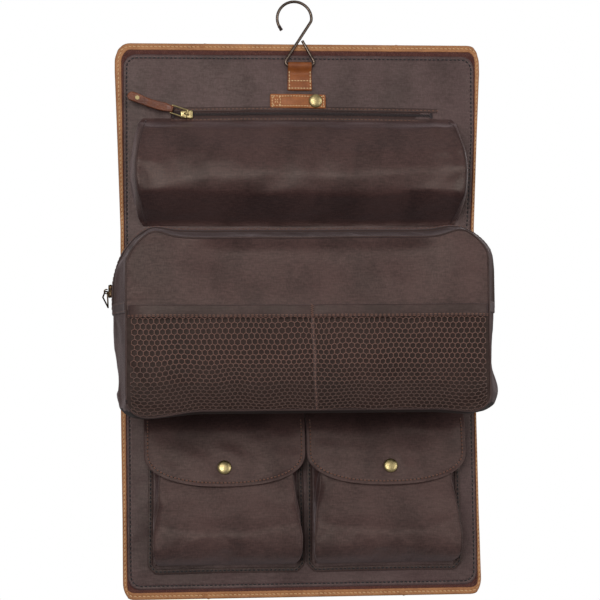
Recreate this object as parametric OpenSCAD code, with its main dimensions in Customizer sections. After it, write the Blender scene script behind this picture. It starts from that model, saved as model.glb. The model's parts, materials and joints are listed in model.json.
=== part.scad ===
// Hanging toiletry bag, shown open: a leather-backed panel in three sections,
// with a zip pocket above, a stuffed zip compartment in the middle and two
// flap pockets below, hung from a folding wire hook.
// X runs to the right, Y to the back and Z up, in millimetres.
// The origin is the hook's seat: the inner top of its bend, in the hook's plane.

/* [Panel] */
// Width of the open panel across its leather edges
panel_w = 296; // [290:1:304]
// Height of the upper section, from the top edge to the upper fold
upper_h = 152.5; // [150:0.5:158]
// Height of the middle section, between the two folds
middle_h = 148; // [146:1:152]
// Height of the lower section, from the lower fold to the bottom edge
lower_h = 150.5; // [146:0.5:158]
// Radius of the panel's outer corners
corner_r = 14; // [8:1:20]
// Width of the leather turned over onto the front
rim_w = 5.6; // [4:0.2:6.4]
// Distance from the leather edge to the lining's edge
lining_inset = 8; // [7:0.5:12]
// Thickness of the outer leather
leather_t = 1.7; // [1.4:0.1:2.2]
// Thickness of the felt interlining
felt_t = 1.5; // [1:0.1:2.4]
// Thickness of the sewn lining
lining_t = 0.8; // [0.5:0.1:1.2]

/* [Hook] */
// Diameter of the hook's wire
wire_d = 2.2; // [1.8:0.1:2.4]
// Inside radius of the hook's bend
bend_r = 13; // [12:0.5:14]
// Height of the seat above the wire's base bar
hook_h = 51.8; // [50:0.2:54]
// Width of the leather loop that holds the base bar
loop_w = 18.6; // [16:0.2:19]

/* [Keeper strap] */
// Length of the strap's free part
keeper_l = 36.5; // [34:0.5:40]
// Height of the strap
keeper_h = 11.5; // [10:0.5:12.5]

/* [Upper pocket] */
// Width of the pocket at its middle
upper_pocket_w = 270; // [262:2:274]
// How far the stuffed pocket stands out
upper_pocket_d = 38; // [30:1:40]
// Length of the upper zip's coil
upper_zip_l = 210; // [204:1:216]

/* [Compartment] */
// Width of the compartment's front
compartment_w = 278; // [272:1:282]
// How far each side bulges beyond the front
side_bulge = 12; // [8:1:14]
// Depth of the compartment
compartment_d = 80; // [70:1:86]
// Drop of the compartment's top from back to front
top_drop = 14; // [12:1:18]
// How far the mesh pocket stands in front of the compartment
mesh_gap = 6; // [5:0.5:8]

/* [Flap pockets] */
// Width of each pocket's sewn edge
pocket_w = 125; // [120:1:126]
// How far each pocket's lower edge stands out
pocket_d = 29; // [24:1:34]
// Width of each flap
flap_w = 130; // [126:1:131]
// Height of each flap, from its sewn edge to its tip
flap_h = 57; // [52:1:62]

/* [Hidden] */
$fn = 48;

// A small overrun that makes cuts pass cleanly through a face
over = 1;

// Place of the panel: its centre line in X and the lining's front face in Y
panel_x = 2.5;
lining_y = 2.8;

// Heights of the panel's edges and fold lines
top_z = -33.5;
upper_fold_z = top_z - upper_h;
lower_fold_z = upper_fold_z - middle_h;
bottom_z = lower_fold_z - lower_h;
half_w = panel_w / 2;
// Half the slit left between two sections at a fold
fold_slit = 0.3;

// Depths of the layers behind the lining's front face
felt_y = lining_t;
leather_y = felt_y + felt_t;
back_y = leather_y + leather_t;
// The turned leather edge: how far it stands in front, and its own thickness
rim_proud = 0.4;
edge_t = 1.4;

// Hook wire
wire_r = wire_d / 2;
bend_c = bend_r + wire_r;
tip_angle = 212;
throat_r = 5.7;
shank_lean = 33.1;
arm_lean = 29.1;
base_r = 2.9;
arm_l = 18.6;
tip_r = 1.4;
tip_l = 2.6;
// Each joint between two stretches of wire is a ball this much fatter than the wire
joint_bead = 0.03;

// Leather loop round the base bar, in the panel's own frame
loop_x = 1.5;
loop_plate_t = 2.4;
loop_bottom_z = -72.3;
loop_hole_r = 1.5;
loop_outer_r = 2.7;

// Keeper strap: its fold, its levels and its snap
keeper_z = -81.3;
keeper_fold_x = -14;
keeper_anchor_l = 9;
keeper_t = 1.8;
keeper_lift = 0.2;
keeper_rise = 1.6;
keeper_ramp = 10;
keeper_snap_x = 14.2;
keeper_back_y = -keeper_lift - keeper_rise;

// Snap fastener
snap_cap_r = 5.6;
dome_r = 5.0;
dome_h = 1.6;
cap_rim_t = 0.5;
shank_r = 1.5;
shank_hole_r = 1.6;
socket_r = 4.6;
socket_t = 1;

// Sewn pocket cloth
cloth_t = 1.4;

// Upper pocket: its sewn edges, the radius of its round front and its bulging sides
pocket_top_z = -97.2;
pocket_low_z = upper_fold_z + 2;
upper_pocket_h = pocket_top_z - pocket_low_z;
upper_pocket_mid_z = (pocket_top_z + pocket_low_z) / 2;
upper_pocket_r = (pow(upper_pocket_h / 2, 2) + pow(upper_pocket_d, 2)) / (2 * upper_pocket_d);
side_sag = 7;
side_r = (pow(upper_pocket_h / 2, 2) + pow(side_sag, 2)) / (2 * side_sag);

// Upper zip
zip_z = -92.8;
zip_x = 4;
tape_half_h = 4.4;
tape_t = 1;
coil_half_h = 1.6;
coil_t = 1.4;
slider_x = -91.5;
slider_l = 10;
slider_w = 7;
plate_t = 1.2;
pull_angle = 17;
pull_tilt = 5.5;
link_l = 13;
link_w = 6.4;
link_r = 0.6;
puller_l = 37;
puller_w = 7.4;
puller_t = 2.4;
// Place of the rivet along the pull, 8 mm short of the puller's tip
rivet_x = link_l + puller_l - 8;

// Compartment: its heights at the lining and its rounded edges
compartment_top_z = upper_fold_z - 1;
compartment_back_z = lower_fold_z + 6;
compartment_low_z = lower_fold_z - 1;
compartment_corner_r = 16;
side_arc_r = (pow(compartment_d / 2, 2) + pow(side_bulge, 2)) / (2 * side_bulge);
front_t = 1.6;

// Compartment zip, which runs round the gusset at its mid depth
side_tape_half = 7;
side_coil_half = 1.6;
side_tape_t = 0.8;
side_coil_t = 1.2;
band_top_z = -250;
band_h = 9;
side_slider_z = -240;
side_x = -(compartment_w / 2 + side_bulge);
pull_r = 0.6;

// Mesh pocket on the compartment's front
mesh_t = 1.2;
hem_top_z = -250.5;
hem_h = 10;
hem_t = 1.8;
mesh_low_z = lower_fold_z;
divider_w = 4;

// Flap pockets, which sit side by side on the lower section
left_pocket_x = -61.5;
right_pocket_x = 66.5;
mouth_z = lower_fold_z - 15;
mouth_d = 8.5;
pocket_front_z = lower_fold_z - 106;
pocket_sew_z = lower_fold_z - 127;
flange_z = lower_fold_z - 130;
pocket_slope = (pocket_d - 2 - mouth_d) / (mouth_z - pocket_front_z);
pocket_tilt = atan(pocket_slope);
flap_z = lower_fold_z - 3.5;
flap_y = -1.2;
flap_t = 2.2;
flap_gap = 1.7;
flap_curve = 26.5;
flap_arc_r = (pow(flap_w / 2, 2) + pow(flap_curve, 2)) / (2 * flap_curve);
flap_snap_z = lower_fold_z - 46;
left_snap_x = -63.5;
right_snap_x = 70;
flap_stud_r = 1.6;
flap_socket_hole_r = 2.8;
keeper_stud_r = 2;
keeper_socket_hole_r = 2.4;

// Colours
tan_leather = "#b0764a";
felt_maroon = "#46232a";
lining_brown = "#5a4c4a";
pocket_brown = "#504238";
mesh_brown = "#735f55";
coil_maroon = "#3a2224";
antique_brass = "#8f7a4c";
gunmetal = "#4a4644";

// Points along an arc, for outlines with a round stretch
function arc(c, r, a0, a1, n = 8) =
    [for (i = [0:n]) c + r * [cos(a0 + (a1 - a0) * i / n), sin(a0 + (a1 - a0) * i / n)]];

// Moves a shape from the panel's own frame to the bag's frame
module on_panel() { translate([panel_x, lining_y, 0]) children(); }

// Extrudes an outline drawn as (x, z) between two depths
module from_front(y_front, y_back) {
    translate([0, y_back, 0]) rotate([90, 0, 0]) linear_extrude(y_back - y_front) children();
}

// Extrudes an outline drawn as (y, z) between two places across the bag
module across(x0, x1) {
    translate([x0, 0, 0]) rotate([90, 0, 90]) linear_extrude(x1 - x0) children();
}

// A straight rod between two points
module rod(p, q, r) {
    v = q - p;
    translate(p)
        rotate([0, acos(v.z / norm(v)), atan2(v.y, v.x)])
            cylinder(h = norm(v), r = r);
}

// A closed loop of wire through the given corners
module wire_loop(corners, r) {
    for (i = [0:len(corners) - 1]) {
        rod(corners[i], corners[(i + 1) % len(corners)], r);
        translate(corners[i]) sphere(r + joint_bead);
    }
}

// A rectangle whose top and bottom corners have their own radii
module rounded(w, z_hi, z_lo, r_hi, r_lo) {
    translate([-w / 2, z_lo + r_lo]) square([w, z_hi - z_lo - r_hi - r_lo]);
    for (end = [[r_hi, z_hi - r_hi, z_hi - r_hi], [r_lo, z_lo, z_lo + r_lo]])
        if (end[0] > 0) {
            translate([-w / 2 + end[0], end[1]]) square([w - 2 * end[0], end[0]]);
            for (s = [-1, 1]) translate([s * (w / 2 - end[0]), end[2]]) circle(end[0]);
        }
}

// Outline of one panel section, drawn in from the panel's edge by inset
module section_outline(section, inset) {
    hi = section == 0 ? top_z - inset : section == 1 ? upper_fold_z - fold_slit : lower_fold_z - fold_slit;
    lo = section == 0 ? upper_fold_z + fold_slit : section == 1 ? lower_fold_z + fold_slit : bottom_z + inset;
    r = max(corner_r - inset, 6);
    rounded(panel_w - 2 * inset, hi, lo, section == 0 ? r : 0, section == 2 ? r : 0);
}

// Section outline that also runs past the folds, for cutting
module section_window(section, inset) {
    hi = section == 0 ? top_z - inset : top_z;
    lo = section == 2 ? bottom_z + inset : bottom_z;
    r = max(corner_r - inset, 6);
    rounded(panel_w - 2 * inset, hi, lo, section == 0 ? r : 0, section == 2 ? r : 0);
}

// Outer leather with its edge turned over onto the front
module leather_section(section) {
    difference() {
        from_front(-rim_proud, back_y) section_outline(section, 0);
        from_front(felt_y, leather_y) section_window(section, edge_t);
        from_front(-rim_proud - over, felt_y + over / 2) section_window(section, rim_w);
    }
}

module felt_section(section) { from_front(felt_y, leather_y) section_outline(section, edge_t); }

module lining_section(section) { from_front(0, felt_y) section_outline(section, lining_inset); }

module upper_leather_shell() { color(tan_leather) on_panel() leather_section(0); }
module middle_leather_shell() { color(tan_leather) on_panel() leather_section(1); }
module lower_leather_shell() { color(tan_leather) on_panel() leather_section(2); }
module upper_felt() { color(felt_maroon) on_panel() felt_section(0); }
module middle_felt() { color(felt_maroon) on_panel() felt_section(1); }
module lower_felt() { color(felt_maroon) on_panel() felt_section(2); }
module upper_lining() { color(lining_brown) on_panel() lining_section(0); }
module middle_lining() { color(lining_brown) on_panel() lining_section(1); }
module lower_lining() { color(lining_brown) on_panel() lining_section(2); }

// Part of a wire ring in the hook's plane, between two angles
module wire_arc(x, z, r, a0, a1) {
    translate([x, 0, z])
        rotate([90, 0, 0])
            rotate([0, 0, a0])
                rotate_extrude(angle = a1 - a0)
                    translate([r, 0]) circle(wire_r);
}

// Hook: bend, throat, leaning shank, base bar and the short arm that closes the base
throat_x = bend_c - throat_r;
throat_end = [throat_x + throat_r * cos(shank_lean), 0, -bend_r - throat_r * sin(shank_lean)];
base_centre_z = -hook_h + base_r;
shank_run = (throat_end.z - base_r * sin(shank_lean) - base_centre_z) / cos(shank_lean);
shank_end = throat_end - shank_run * [sin(shank_lean), 0, cos(shank_lean)];
left_corner_x = shank_end.x + base_r * cos(shank_lean);
right_corner_x = 12.8;
arm_start = [right_corner_x + base_r * cos(arm_lean), 0, base_centre_z + base_r * sin(arm_lean)];

module hanging_hook() {
    color(gunmetal) {
        wire_arc(0, -bend_r, bend_c, 0, tip_angle);
        wire_arc(throat_x, -bend_r, throat_r, -shank_lean, 0);
        rod(throat_end, shank_end, wire_r);
        wire_arc(left_corner_x, base_centre_z, base_r, 180 - shank_lean, 270);
        rod([left_corner_x, 0, -hook_h], [right_corner_x, 0, -hook_h], wire_r);
        wire_arc(right_corner_x, base_centre_z, base_r, -90, arm_lean);
        rod(arm_start, arm_start + arm_l * [-sin(arm_lean), 0, cos(arm_lean)], wire_r);
        for (p = [[bend_c, 0, -bend_r], throat_end, shank_end, arm_start,
                  [left_corner_x, 0, -hook_h], [right_corner_x, 0, -hook_h]])
            translate(p) sphere(wire_r + joint_bead);
    }
}

module hook_tip() {
    end = bend_c * [cos(tip_angle), 0, sin(tip_angle)] - [0, 0, bend_r];
    color("#24211f") rod(end, end + tip_l * [-sin(tip_angle), 0, cos(tip_angle)], tip_r);
}

// Folded leather tab: its plate is sewn to the lining and its top wraps the base bar
module hook_loop() {
    color(tan_leather)
        difference() {
            union() {
                translate([panel_x + loop_x - loop_w / 2, lining_y - loop_plate_t, loop_bottom_z])
                    cube([loop_w, loop_plate_t, -hook_h - loop_bottom_z]);
                translate([panel_x + loop_x - loop_w / 2, 0, -hook_h])
                    rotate([0, 90, 0]) cylinder(h = loop_w, r = loop_outer_r);
            }
            translate([panel_x + loop_x - loop_w / 2 - over, 0, -hook_h])
                rotate([0, 90, 0]) cylinder(h = loop_w + 2 * over, r = loop_hole_r);
        }
}

// Snap parts stand on the plane y = 0 and point towards -y
module snap_cap(shank_l) {
    sphere_r = (dome_r * dome_r + dome_h * dome_h) / (2 * dome_h);
    rotate([90, 0, 0]) {
        cylinder(h = cap_rim_t, r = snap_cap_r);
        intersection() {
            translate([0, 0, cap_rim_t + dome_h - sphere_r]) sphere(sphere_r);
            translate([0, 0, cap_rim_t]) cylinder(h = dome_h + over, r = snap_cap_r);
        }
        translate([0, 0, -shank_l]) cylinder(h = shank_l, r = shank_r);
    }
}

module snap_socket(hole_r) {
    rotate([90, 0, 0])
        difference() {
            cylinder(h = socket_t, r = socket_r);
            translate([0, 0, -over]) cylinder(h = socket_t + 2 * over, r = hole_r);
        }
}

module snap_stud(flange_t, post_l, post_r) {
    rotate([90, 0, 0]) {
        cylinder(h = flange_t, r = socket_r);
        translate([0, 0, flange_t]) cylinder(h = post_l, r = post_r);
    }
}

// The keeper strap's sewn end
module keeper_anchor() {
    color(tan_leather)
        on_panel()
            translate([keeper_fold_x - keeper_anchor_l, -keeper_t, keeper_z - keeper_h / 2])
                cube([keeper_anchor_l - fold_slit, keeper_t, keeper_h]);
}

// The keeper strap's free part, which rises over its snap
module keeper_strap() {
    x0 = keeper_fold_x;
    x1 = keeper_fold_x + keeper_ramp;
    x2 = keeper_fold_x + keeper_l;
    color(tan_leather)
        on_panel()
            difference() {
                translate([0, 0, keeper_z - keeper_h / 2])
                    linear_extrude(keeper_h)
                        polygon([
                            [x0, -keeper_lift], [x1, keeper_back_y], [x2, keeper_back_y],
                            [x2, keeper_back_y - keeper_t], [x1, keeper_back_y - keeper_t],
                            [x0, -keeper_lift - keeper_t]
                        ]);
                translate([keeper_snap_x, 0, keeper_z])
                    rotate([90, 0, 0]) cylinder(h = 10, r = shank_hole_r);
            }
}

module keeper_snap_cap() {
    color(antique_brass)
        on_panel() translate([keeper_snap_x, keeper_back_y - keeper_t, keeper_z]) snap_cap(keeper_t);
}

module keeper_snap_socket() {
    color(antique_brass)
        on_panel()
            translate([keeper_snap_x, keeper_back_y + socket_t, keeper_z]) snap_socket(keeper_socket_hole_r);
}

module keeper_snap_stud() {
    color(antique_brass)
        on_panel() translate([keeper_snap_x, 0, keeper_z]) snap_stud(0.4, 1.1, keeper_stud_r);
}

// Outline (x, z) of the upper pocket with bulging sides, drawn in by inset
module upper_pocket_outline(inset) {
    a = asin(upper_pocket_h / 2 / side_r);
    c = upper_pocket_w / 2 - side_r - inset;
    polygon(concat(
        arc([c, upper_pocket_mid_z], side_r, -a, a),
        arc([-c, upper_pocket_mid_z], side_r, 180 - a, 180 + a)
    ));
}

// A round-fronted pocket: part of a cylinder within the bulging outline
module upper_pocket_body(inset) {
    intersection() {
        translate([-half_w, upper_pocket_r - upper_pocket_d, upper_pocket_mid_z])
            rotate([0, 90, 0]) cylinder(h = panel_w, r = upper_pocket_r - inset, $fn = 96);
        from_front(-upper_pocket_d, inset) upper_pocket_outline(inset);
    }
}

// The pocket's cloth, sewn to the lining along its edges
module upper_pocket() {
    color(pocket_brown)
        on_panel()
            difference() {
                upper_pocket_body(0);
                upper_pocket_body(cloth_t);
            }
}

module upper_zip_tape() {
    color(coil_maroon)
        on_panel()
            translate([zip_x - upper_zip_l / 2 - 3, -tape_t, zip_z - tape_half_h])
                cube([upper_zip_l + 6, tape_t, 2 * tape_half_h]);
}

module upper_zip_coil() {
    color(coil_maroon)
        on_panel()
            translate([zip_x - upper_zip_l / 2, -tape_t - coil_t, zip_z - coil_half_h])
                cube([upper_zip_l, coil_t, 2 * coil_half_h]);
}

module upper_zip_stops() {
    color(antique_brass)
        on_panel()
            for (s = [-1, 1])
                translate([zip_x + s * (upper_zip_l / 2 + 1), -tape_t - coil_t / 2, zip_z])
                    cube([2, coil_t, 2 * coil_half_h + 1], center = true);
}

// A slider's lug and its clearance from the coil
slider_gap = 0.3;
lug_h = 3.4;
lug_w = 4.4;
lug_hole_r = 1.1;
// Centre of the lug's hole in front of a coil's front face
lug_y = slider_gap + plate_t + lug_h / 2;

// A slider astride a coil: it runs along x and faces -y, with a lug for its pull
// The coil's front is at y = 0 here
module zip_slider(lug_turn, lug_t) {
    wall = (slider_w - 2 * (coil_half_h + slider_gap)) / 2;
    wall_h = slider_gap + coil_t * 0.6;
    plate_y = -slider_gap - plate_t;
    root = 0.4;
    translate([-slider_l / 2, plate_y, -slider_w / 2]) cube([slider_l, plate_t, slider_w]);
    for (s = [-1, 1])
        translate([-slider_l / 2, -slider_gap, s * (slider_w - wall) / 2 - wall / 2])
            cube([slider_l, wall_h, wall]);
    rotate([0, lug_turn, 0])
        difference() {
            translate([-lug_w / 2, plate_y - lug_h, -lug_t / 2]) cube([lug_w, lug_h + root, lug_t]);
            translate([0, -lug_y, 0]) cylinder(h = lug_t + 2 * over, r = lug_hole_r, center = true);
        }
}

link_y = -tape_t - coil_t - lug_y;

module upper_zip_slider() {
    color(antique_brass)
        on_panel() translate([slider_x, -tape_t - coil_t, zip_z]) zip_slider(pull_angle, 1.6);
}

// Frame of the upper pull: x runs along it from the lug to its tip, tilted off the panel
module along_pull() {
    on_panel()
        translate([slider_x, link_y, zip_z])
            rotate([0, 180 + pull_angle, 0]) rotate([0, 0, -pull_tilt]) children();
}

module upper_zip_link() {
    color(antique_brass)
        along_pull()
            wire_loop([
                [0, 0, -link_w / 2], [0, 0, link_w / 2],
                [link_l, 0, link_w / 2], [link_l, 0, -link_w / 2]
            ], link_r);
}

// Folded leather puller, round at its tip, with a hole for the link's far bar
module upper_zip_puller() {
    fold_r = puller_t / 2;
    neck_w = link_w - 2.2;
    neck_l = 3;
    body_l = puller_l - neck_l - puller_w / 2;
    hole_r = 0.9;
    color(tan_leather)
        along_pull()
            difference() {
                union() {
                    translate([link_l, 0, 0]) cylinder(h = neck_w, r = fold_r, center = true);
                    translate([link_l, -fold_r, -neck_w / 2]) cube([neck_l + over, puller_t, neck_w]);
                    translate([link_l + neck_l, -fold_r, -puller_w / 2]) cube([body_l, puller_t, puller_w]);
                    translate([link_l + puller_l - puller_w / 2, fold_r, 0])
                        rotate([90, 0, 0]) cylinder(h = puller_t, r = puller_w / 2);
                }
                translate([link_l, 0, 0]) cylinder(h = puller_w, r = hole_r, center = true);
                translate([rivet_x, fold_r + over, 0])
                    rotate([90, 0, 0]) cylinder(h = puller_t + 2 * over, r = hole_r);
            }
}

// Rivet through the puller: two low heads on a shank
module puller_rivet() {
    head_t = 0.7;
    head_r = 1.7;
    shaft_r = 0.85;
    color(antique_brass)
        along_pull()
            translate([rivet_x, puller_t / 2 + head_t, 0])
                rotate([90, 0, 0]) {
                    cylinder(h = puller_t + 2 * head_t, r = shaft_r);
                    cylinder(h = head_t, r = head_r);
                    translate([0, 0, puller_t + head_t]) cylinder(h = head_t, r = head_r);
                }
}

// Side profile (y, z) of the compartment, drawn in by inset
module compartment_profile(inset) {
    d = compartment_d - inset;
    hi = compartment_top_z - inset;
    lo = compartment_back_z + inset;
    front_hi = hi - top_drop;
    front_lo = compartment_low_z + inset;
    r = 12;
    polygon(concat(
        [[inset > 0 ? over : 0, hi]],
        arc([-d + r, front_hi - r + top_drop * r / compartment_d], r, 90, 180),
        arc([-d + r, front_lo + r], r, 180, 270),
        [[inset > 0 ? over : 0, lo]]
    ));
}

// Plan (x, y) of the compartment: straight between two side arcs
module compartment_plan(inset) {
    c = compartment_w / 2 + side_bulge - side_arc_r;
    intersection() {
        union() {
            translate([-c, -compartment_d]) square([2 * c, compartment_d + over]);
            for (s = [-1, 1]) translate([s * c, -compartment_d / 2]) circle(side_arc_r - inset, $fn = 96);
        }
        translate([-half_w - 20, -compartment_d]) square([panel_w + 40, compartment_d + (inset > 0 ? over : 0)]);
    }
}

// The whole compartment as a solid; a negative inset makes it larger
module compartment_body(inset) {
    w = compartment_w + 2 * side_bulge + 2;
    intersection() {
        across(-half_w - 20, half_w + 20) compartment_profile(inset);
        translate([0, 0, bottom_z]) linear_extrude(-bottom_z) compartment_plan(inset);
        from_front(-compartment_d - over, over)
            rounded(w, compartment_top_z - inset, compartment_low_z + inset, compartment_corner_r, compartment_corner_r);
    }
}

// Keeps what lies between two depths and two heights
module slab(y0, y1, z0, z1) {
    intersection() {
        children();
        translate([-half_w - 20, y0, z0]) cube([panel_w + 40, y1 - y0, z1 - z0]);
    }
}

// A skin of cloth laid on the compartment, from one thickness to another
module compartment_skin(from, to) {
    difference() {
        compartment_body(-to);
        compartment_body(-from);
    }
}

module compartment_gusset() {
    color(pocket_brown)
        on_panel()
            slab(-compartment_d + front_t, 0, bottom_z, 0)
                difference() {
                    compartment_body(0);
                    compartment_body(cloth_t);
                }
}

module compartment_front() {
    color(pocket_brown)
        on_panel() slab(-compartment_d, -compartment_d + front_t, bottom_z, 0) compartment_body(0);
}

zip_mid_y = -compartment_d / 2;

module compartment_zip_tape() {
    color(coil_maroon)
        on_panel()
            slab(zip_mid_y - side_tape_half, zip_mid_y + side_tape_half, band_top_z, 0)
                compartment_skin(0, side_tape_t);
}

module compartment_zip_coil() {
    color(coil_maroon)
        on_panel()
            slab(zip_mid_y - side_coil_half, zip_mid_y + side_coil_half, band_top_z, 0)
                compartment_skin(side_tape_t, side_tape_t + side_coil_t);
}

// Bands sewn across both gussets, which close the zip's ends
module zip_end_bands() {
    color(pocket_brown)
        on_panel()
            difference() {
                slab(-compartment_d + 2, -2, band_top_z - band_h, band_top_z) compartment_skin(0, side_tape_t);
                translate([-half_w + 20, -compartment_d - over, bottom_z])
                    cube([panel_w - 40, compartment_d + 2 * over, panel_w * 2]);
            }
}

side_coil_x = side_x - side_tape_t - side_coil_t;

module side_zip_slider() {
    color(antique_brass)
        on_panel()
            translate([side_coil_x, zip_mid_y, side_slider_z])
                rotate([0, 0, -90]) rotate([0, 90, 0]) zip_slider(0, 0.8);
}

// Triangular wire pull, which hangs from the slider's lug and stands off the gusset
// Its corners are drawn as (distance out from the lug, height)
module side_zip_pull() {
    turn = 30;
    corners = [[-1.8, 0], [1.8, 0], [5.2, -4.8], [-2.6, -12.4]];
    color(antique_brass)
        on_panel()
            translate([side_coil_x - lug_y, zip_mid_y, side_slider_z])
                wire_loop([for (c = corners) [-c.x * sin(turn), -c.x * cos(turn), c.y]], pull_r);
}

// Mesh pocket: a shallow tray of net that is open at the top
module mesh_pocket() {
    w = compartment_w - 4;
    depth = mesh_gap + mesh_t;
    color(mesh_brown)
        on_panel()
            difference() {
                from_front(-compartment_d - depth, -compartment_d) rounded(w, hem_top_z - hem_h, mesh_low_z, 0, 10);
                from_front(-compartment_d - mesh_gap, -compartment_d + over)
                    rounded(w - 2 * mesh_t, hem_top_z, mesh_low_z + mesh_t, 0, 9);
                from_front(-compartment_d - mesh_gap, -compartment_d + over)
                    translate([-divider_w / 2, mesh_low_z]) square([divider_w, mesh_t]);
            }
}

module mesh_hem_band() {
    w = compartment_w - 4;
    color(pocket_brown)
        on_panel()
            from_front(-compartment_d - mesh_gap - hem_t, -compartment_d - mesh_gap)
                translate([-w / 2, hem_top_z - hem_h]) square([w, hem_h]);
}

// Sewn seam that divides the mesh pocket in two
module mesh_divider() {
    color(pocket_brown)
        on_panel()
            from_front(-compartment_d - mesh_gap, -compartment_d)
                translate([-divider_w / 2, mesh_low_z]) square([divider_w, hem_top_z - mesh_low_z]);
}

// Side profile (y, z) of a flap pocket, drawn in by inset
module pocket_profile(inset) {
    polygon([
        [over, mouth_z + (inset > 0 ? over : 0)],
        [-mouth_d + inset * 1.02 + (inset > 0 ? pocket_slope * over : 0), mouth_z + (inset > 0 ? over : 0)],
        [-pocket_d + 2 + inset * 1.02, pocket_front_z],
        [-pocket_d + inset, pocket_front_z - 10],
        [-pocket_d + 3 + inset, pocket_sew_z + 5 + inset],
        [over, pocket_sew_z + inset]
    ]);
}

// Front outline (x, z) of a flap pocket: wider at the bottom, with round corners
module pocket_outline(inset) {
    top = pocket_w / 2 - 13 - inset;
    low = pocket_w / 2 - 5 - inset;
    r = 7;
    polygon(concat(
        [[-top, mouth_z + 2 * over]],
        arc([-low + r, pocket_sew_z + r + inset], r, 180, 270, 6),
        arc([low - r, pocket_sew_z + r + inset], r, 270, 360, 6),
        [[top, mouth_z + 2 * over]]
    ));
}

module pocket_body(inset) {
    intersection() {
        across(-pocket_w / 2, pocket_w / 2) pocket_profile(inset);
        from_front(-pocket_d, -lining_t) pocket_outline(inset);
    }
}

// A flap pocket: gusseted front on a thin sewn backing with a flat edge
module flap_pocket(x) {
    color(pocket_brown)
        on_panel()
            translate([x, 0, 0]) {
                from_front(-lining_t, 0) rounded(pocket_w, mouth_z + 6, flange_z, 0, 5);
                difference() {
                    pocket_body(0);
                    pocket_body(cloth_t);
                }
            }
}

module left_pocket() { flap_pocket(left_pocket_x); }
module right_pocket() { flap_pocket(right_pocket_x); }

// Front outline (x, z) of a flap: straight sides and a round lower edge
module flap_outline() {
    intersection() {
        translate([-flap_w / 2, flap_z - flap_h]) square([flap_w, flap_h + 4]);
        translate([0, flap_z - flap_h + flap_arc_r]) circle(flap_arc_r, $fn = 128);
    }
}

// Depth of the flap's inner face at a height on its sloping part
function flap_inner_y(z) = -mouth_d - flap_gap - pocket_slope * (mouth_z - z);

// Side profile (y, z) of a flap: out over the pocket's mouth and down its front
module flap_profile() {
    shoulder_z = mouth_z + 1.5;
    tip_z = flap_z - flap_h - over;
    polygon([
        [flap_y + 0.8, flap_z - 1.1], [flap_inner_y(shoulder_z), shoulder_z], [flap_inner_y(tip_z), tip_z],
        [flap_inner_y(tip_z) - flap_t, tip_z], [flap_inner_y(shoulder_z + 1) - flap_t, shoulder_z + 1],
        [flap_y - 0.8, flap_z + 1.1]
    ]);
}

// Puts a snap part on the pocket's sloping front, a given height off its cloth
module on_slope(x, off) {
    y = -mouth_d - pocket_slope * (mouth_z - flap_snap_z);
    on_panel() translate([x, y, flap_snap_z]) rotate([-pocket_tilt, 0, 0]) translate([0, -off, 0]) children();
}

flap_off = flap_gap * cos(pocket_tilt);
flap_skin = flap_t * cos(pocket_tilt);

module pocket_flap(x, snap_x) {
    color(pocket_brown)
        difference() {
            on_panel()
                intersection() {
                    translate([x, 0, 0]) across(-flap_w / 2, flap_w / 2) flap_profile();
                    translate([x, 0, 0]) from_front(-pocket_d - 20, over) flap_outline();
                }
            on_slope(snap_x, 0) rotate([90, 0, 0]) cylinder(h = 10, r = shank_hole_r);
        }
}

module flap_snap_cap(snap_x) {
    color(antique_brass) on_slope(snap_x, flap_off + flap_skin) snap_cap(flap_skin);
}

module flap_snap_socket(snap_x) {
    color(antique_brass) on_slope(snap_x, flap_off - socket_t) snap_socket(flap_socket_hole_r);
}

module pocket_snap_studs() {
    color(antique_brass)
        for (snap_x = [left_snap_x, right_snap_x]) on_slope(snap_x, 0) snap_stud(0.3, 1.1, flap_stud_r);
}

flap_gap_x = 1.2;
left_flap_x = left_pocket_x - flap_gap_x;
right_flap_x = right_pocket_x + flap_gap_x;

module left_flap() { pocket_flap(left_flap_x, left_snap_x); }
module left_snap_cap() { flap_snap_cap(left_snap_x); }
module left_snap_socket() { flap_snap_socket(left_snap_x); }
module right_flap() { pocket_flap(right_flap_x, right_snap_x); }
module right_snap_cap() { flap_snap_cap(right_snap_x); }
module right_snap_socket() { flap_snap_socket(right_snap_x); }

hanging_hook();
hook_tip();
hook_loop();
upper_leather_shell();
upper_felt();
upper_lining();
keeper_anchor();
keeper_strap();
keeper_snap_cap();
keeper_snap_socket();
keeper_snap_stud();
upper_pocket();
upper_zip_tape();
upper_zip_coil();
upper_zip_stops();
upper_zip_slider();
upper_zip_link();
upper_zip_puller();
puller_rivet();
middle_leather_shell();
middle_felt();
middle_lining();
compartment_gusset();
compartment_front();
compartment_zip_tape();
compartment_zip_coil();
zip_end_bands();
side_zip_slider();
side_zip_pull();
mesh_pocket();
mesh_hem_band();
mesh_divider();
lower_leather_shell();
lower_felt();
lower_lining();
left_pocket();
right_pocket();
pocket_snap_studs();
left_flap();
left_snap_cap();
left_snap_socket();
right_flap();
right_snap_cap();
right_snap_socket();
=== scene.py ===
"""Looks for the hanging toiletry bag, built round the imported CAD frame.

Shapes are written in millimetres in the panel's frame: X right from the panel's centre line, Y back from
the lining's front face, Z up from the hook's seat. row() turns them into the row frame, in metres.
"""

import json
import math

import bmesh
import bpy
import numpy as np
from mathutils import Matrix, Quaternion, Vector
from mathutils.bvhtree import BVHTree
from mathutils.geometry import delaunay_2d_cdt


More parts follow.
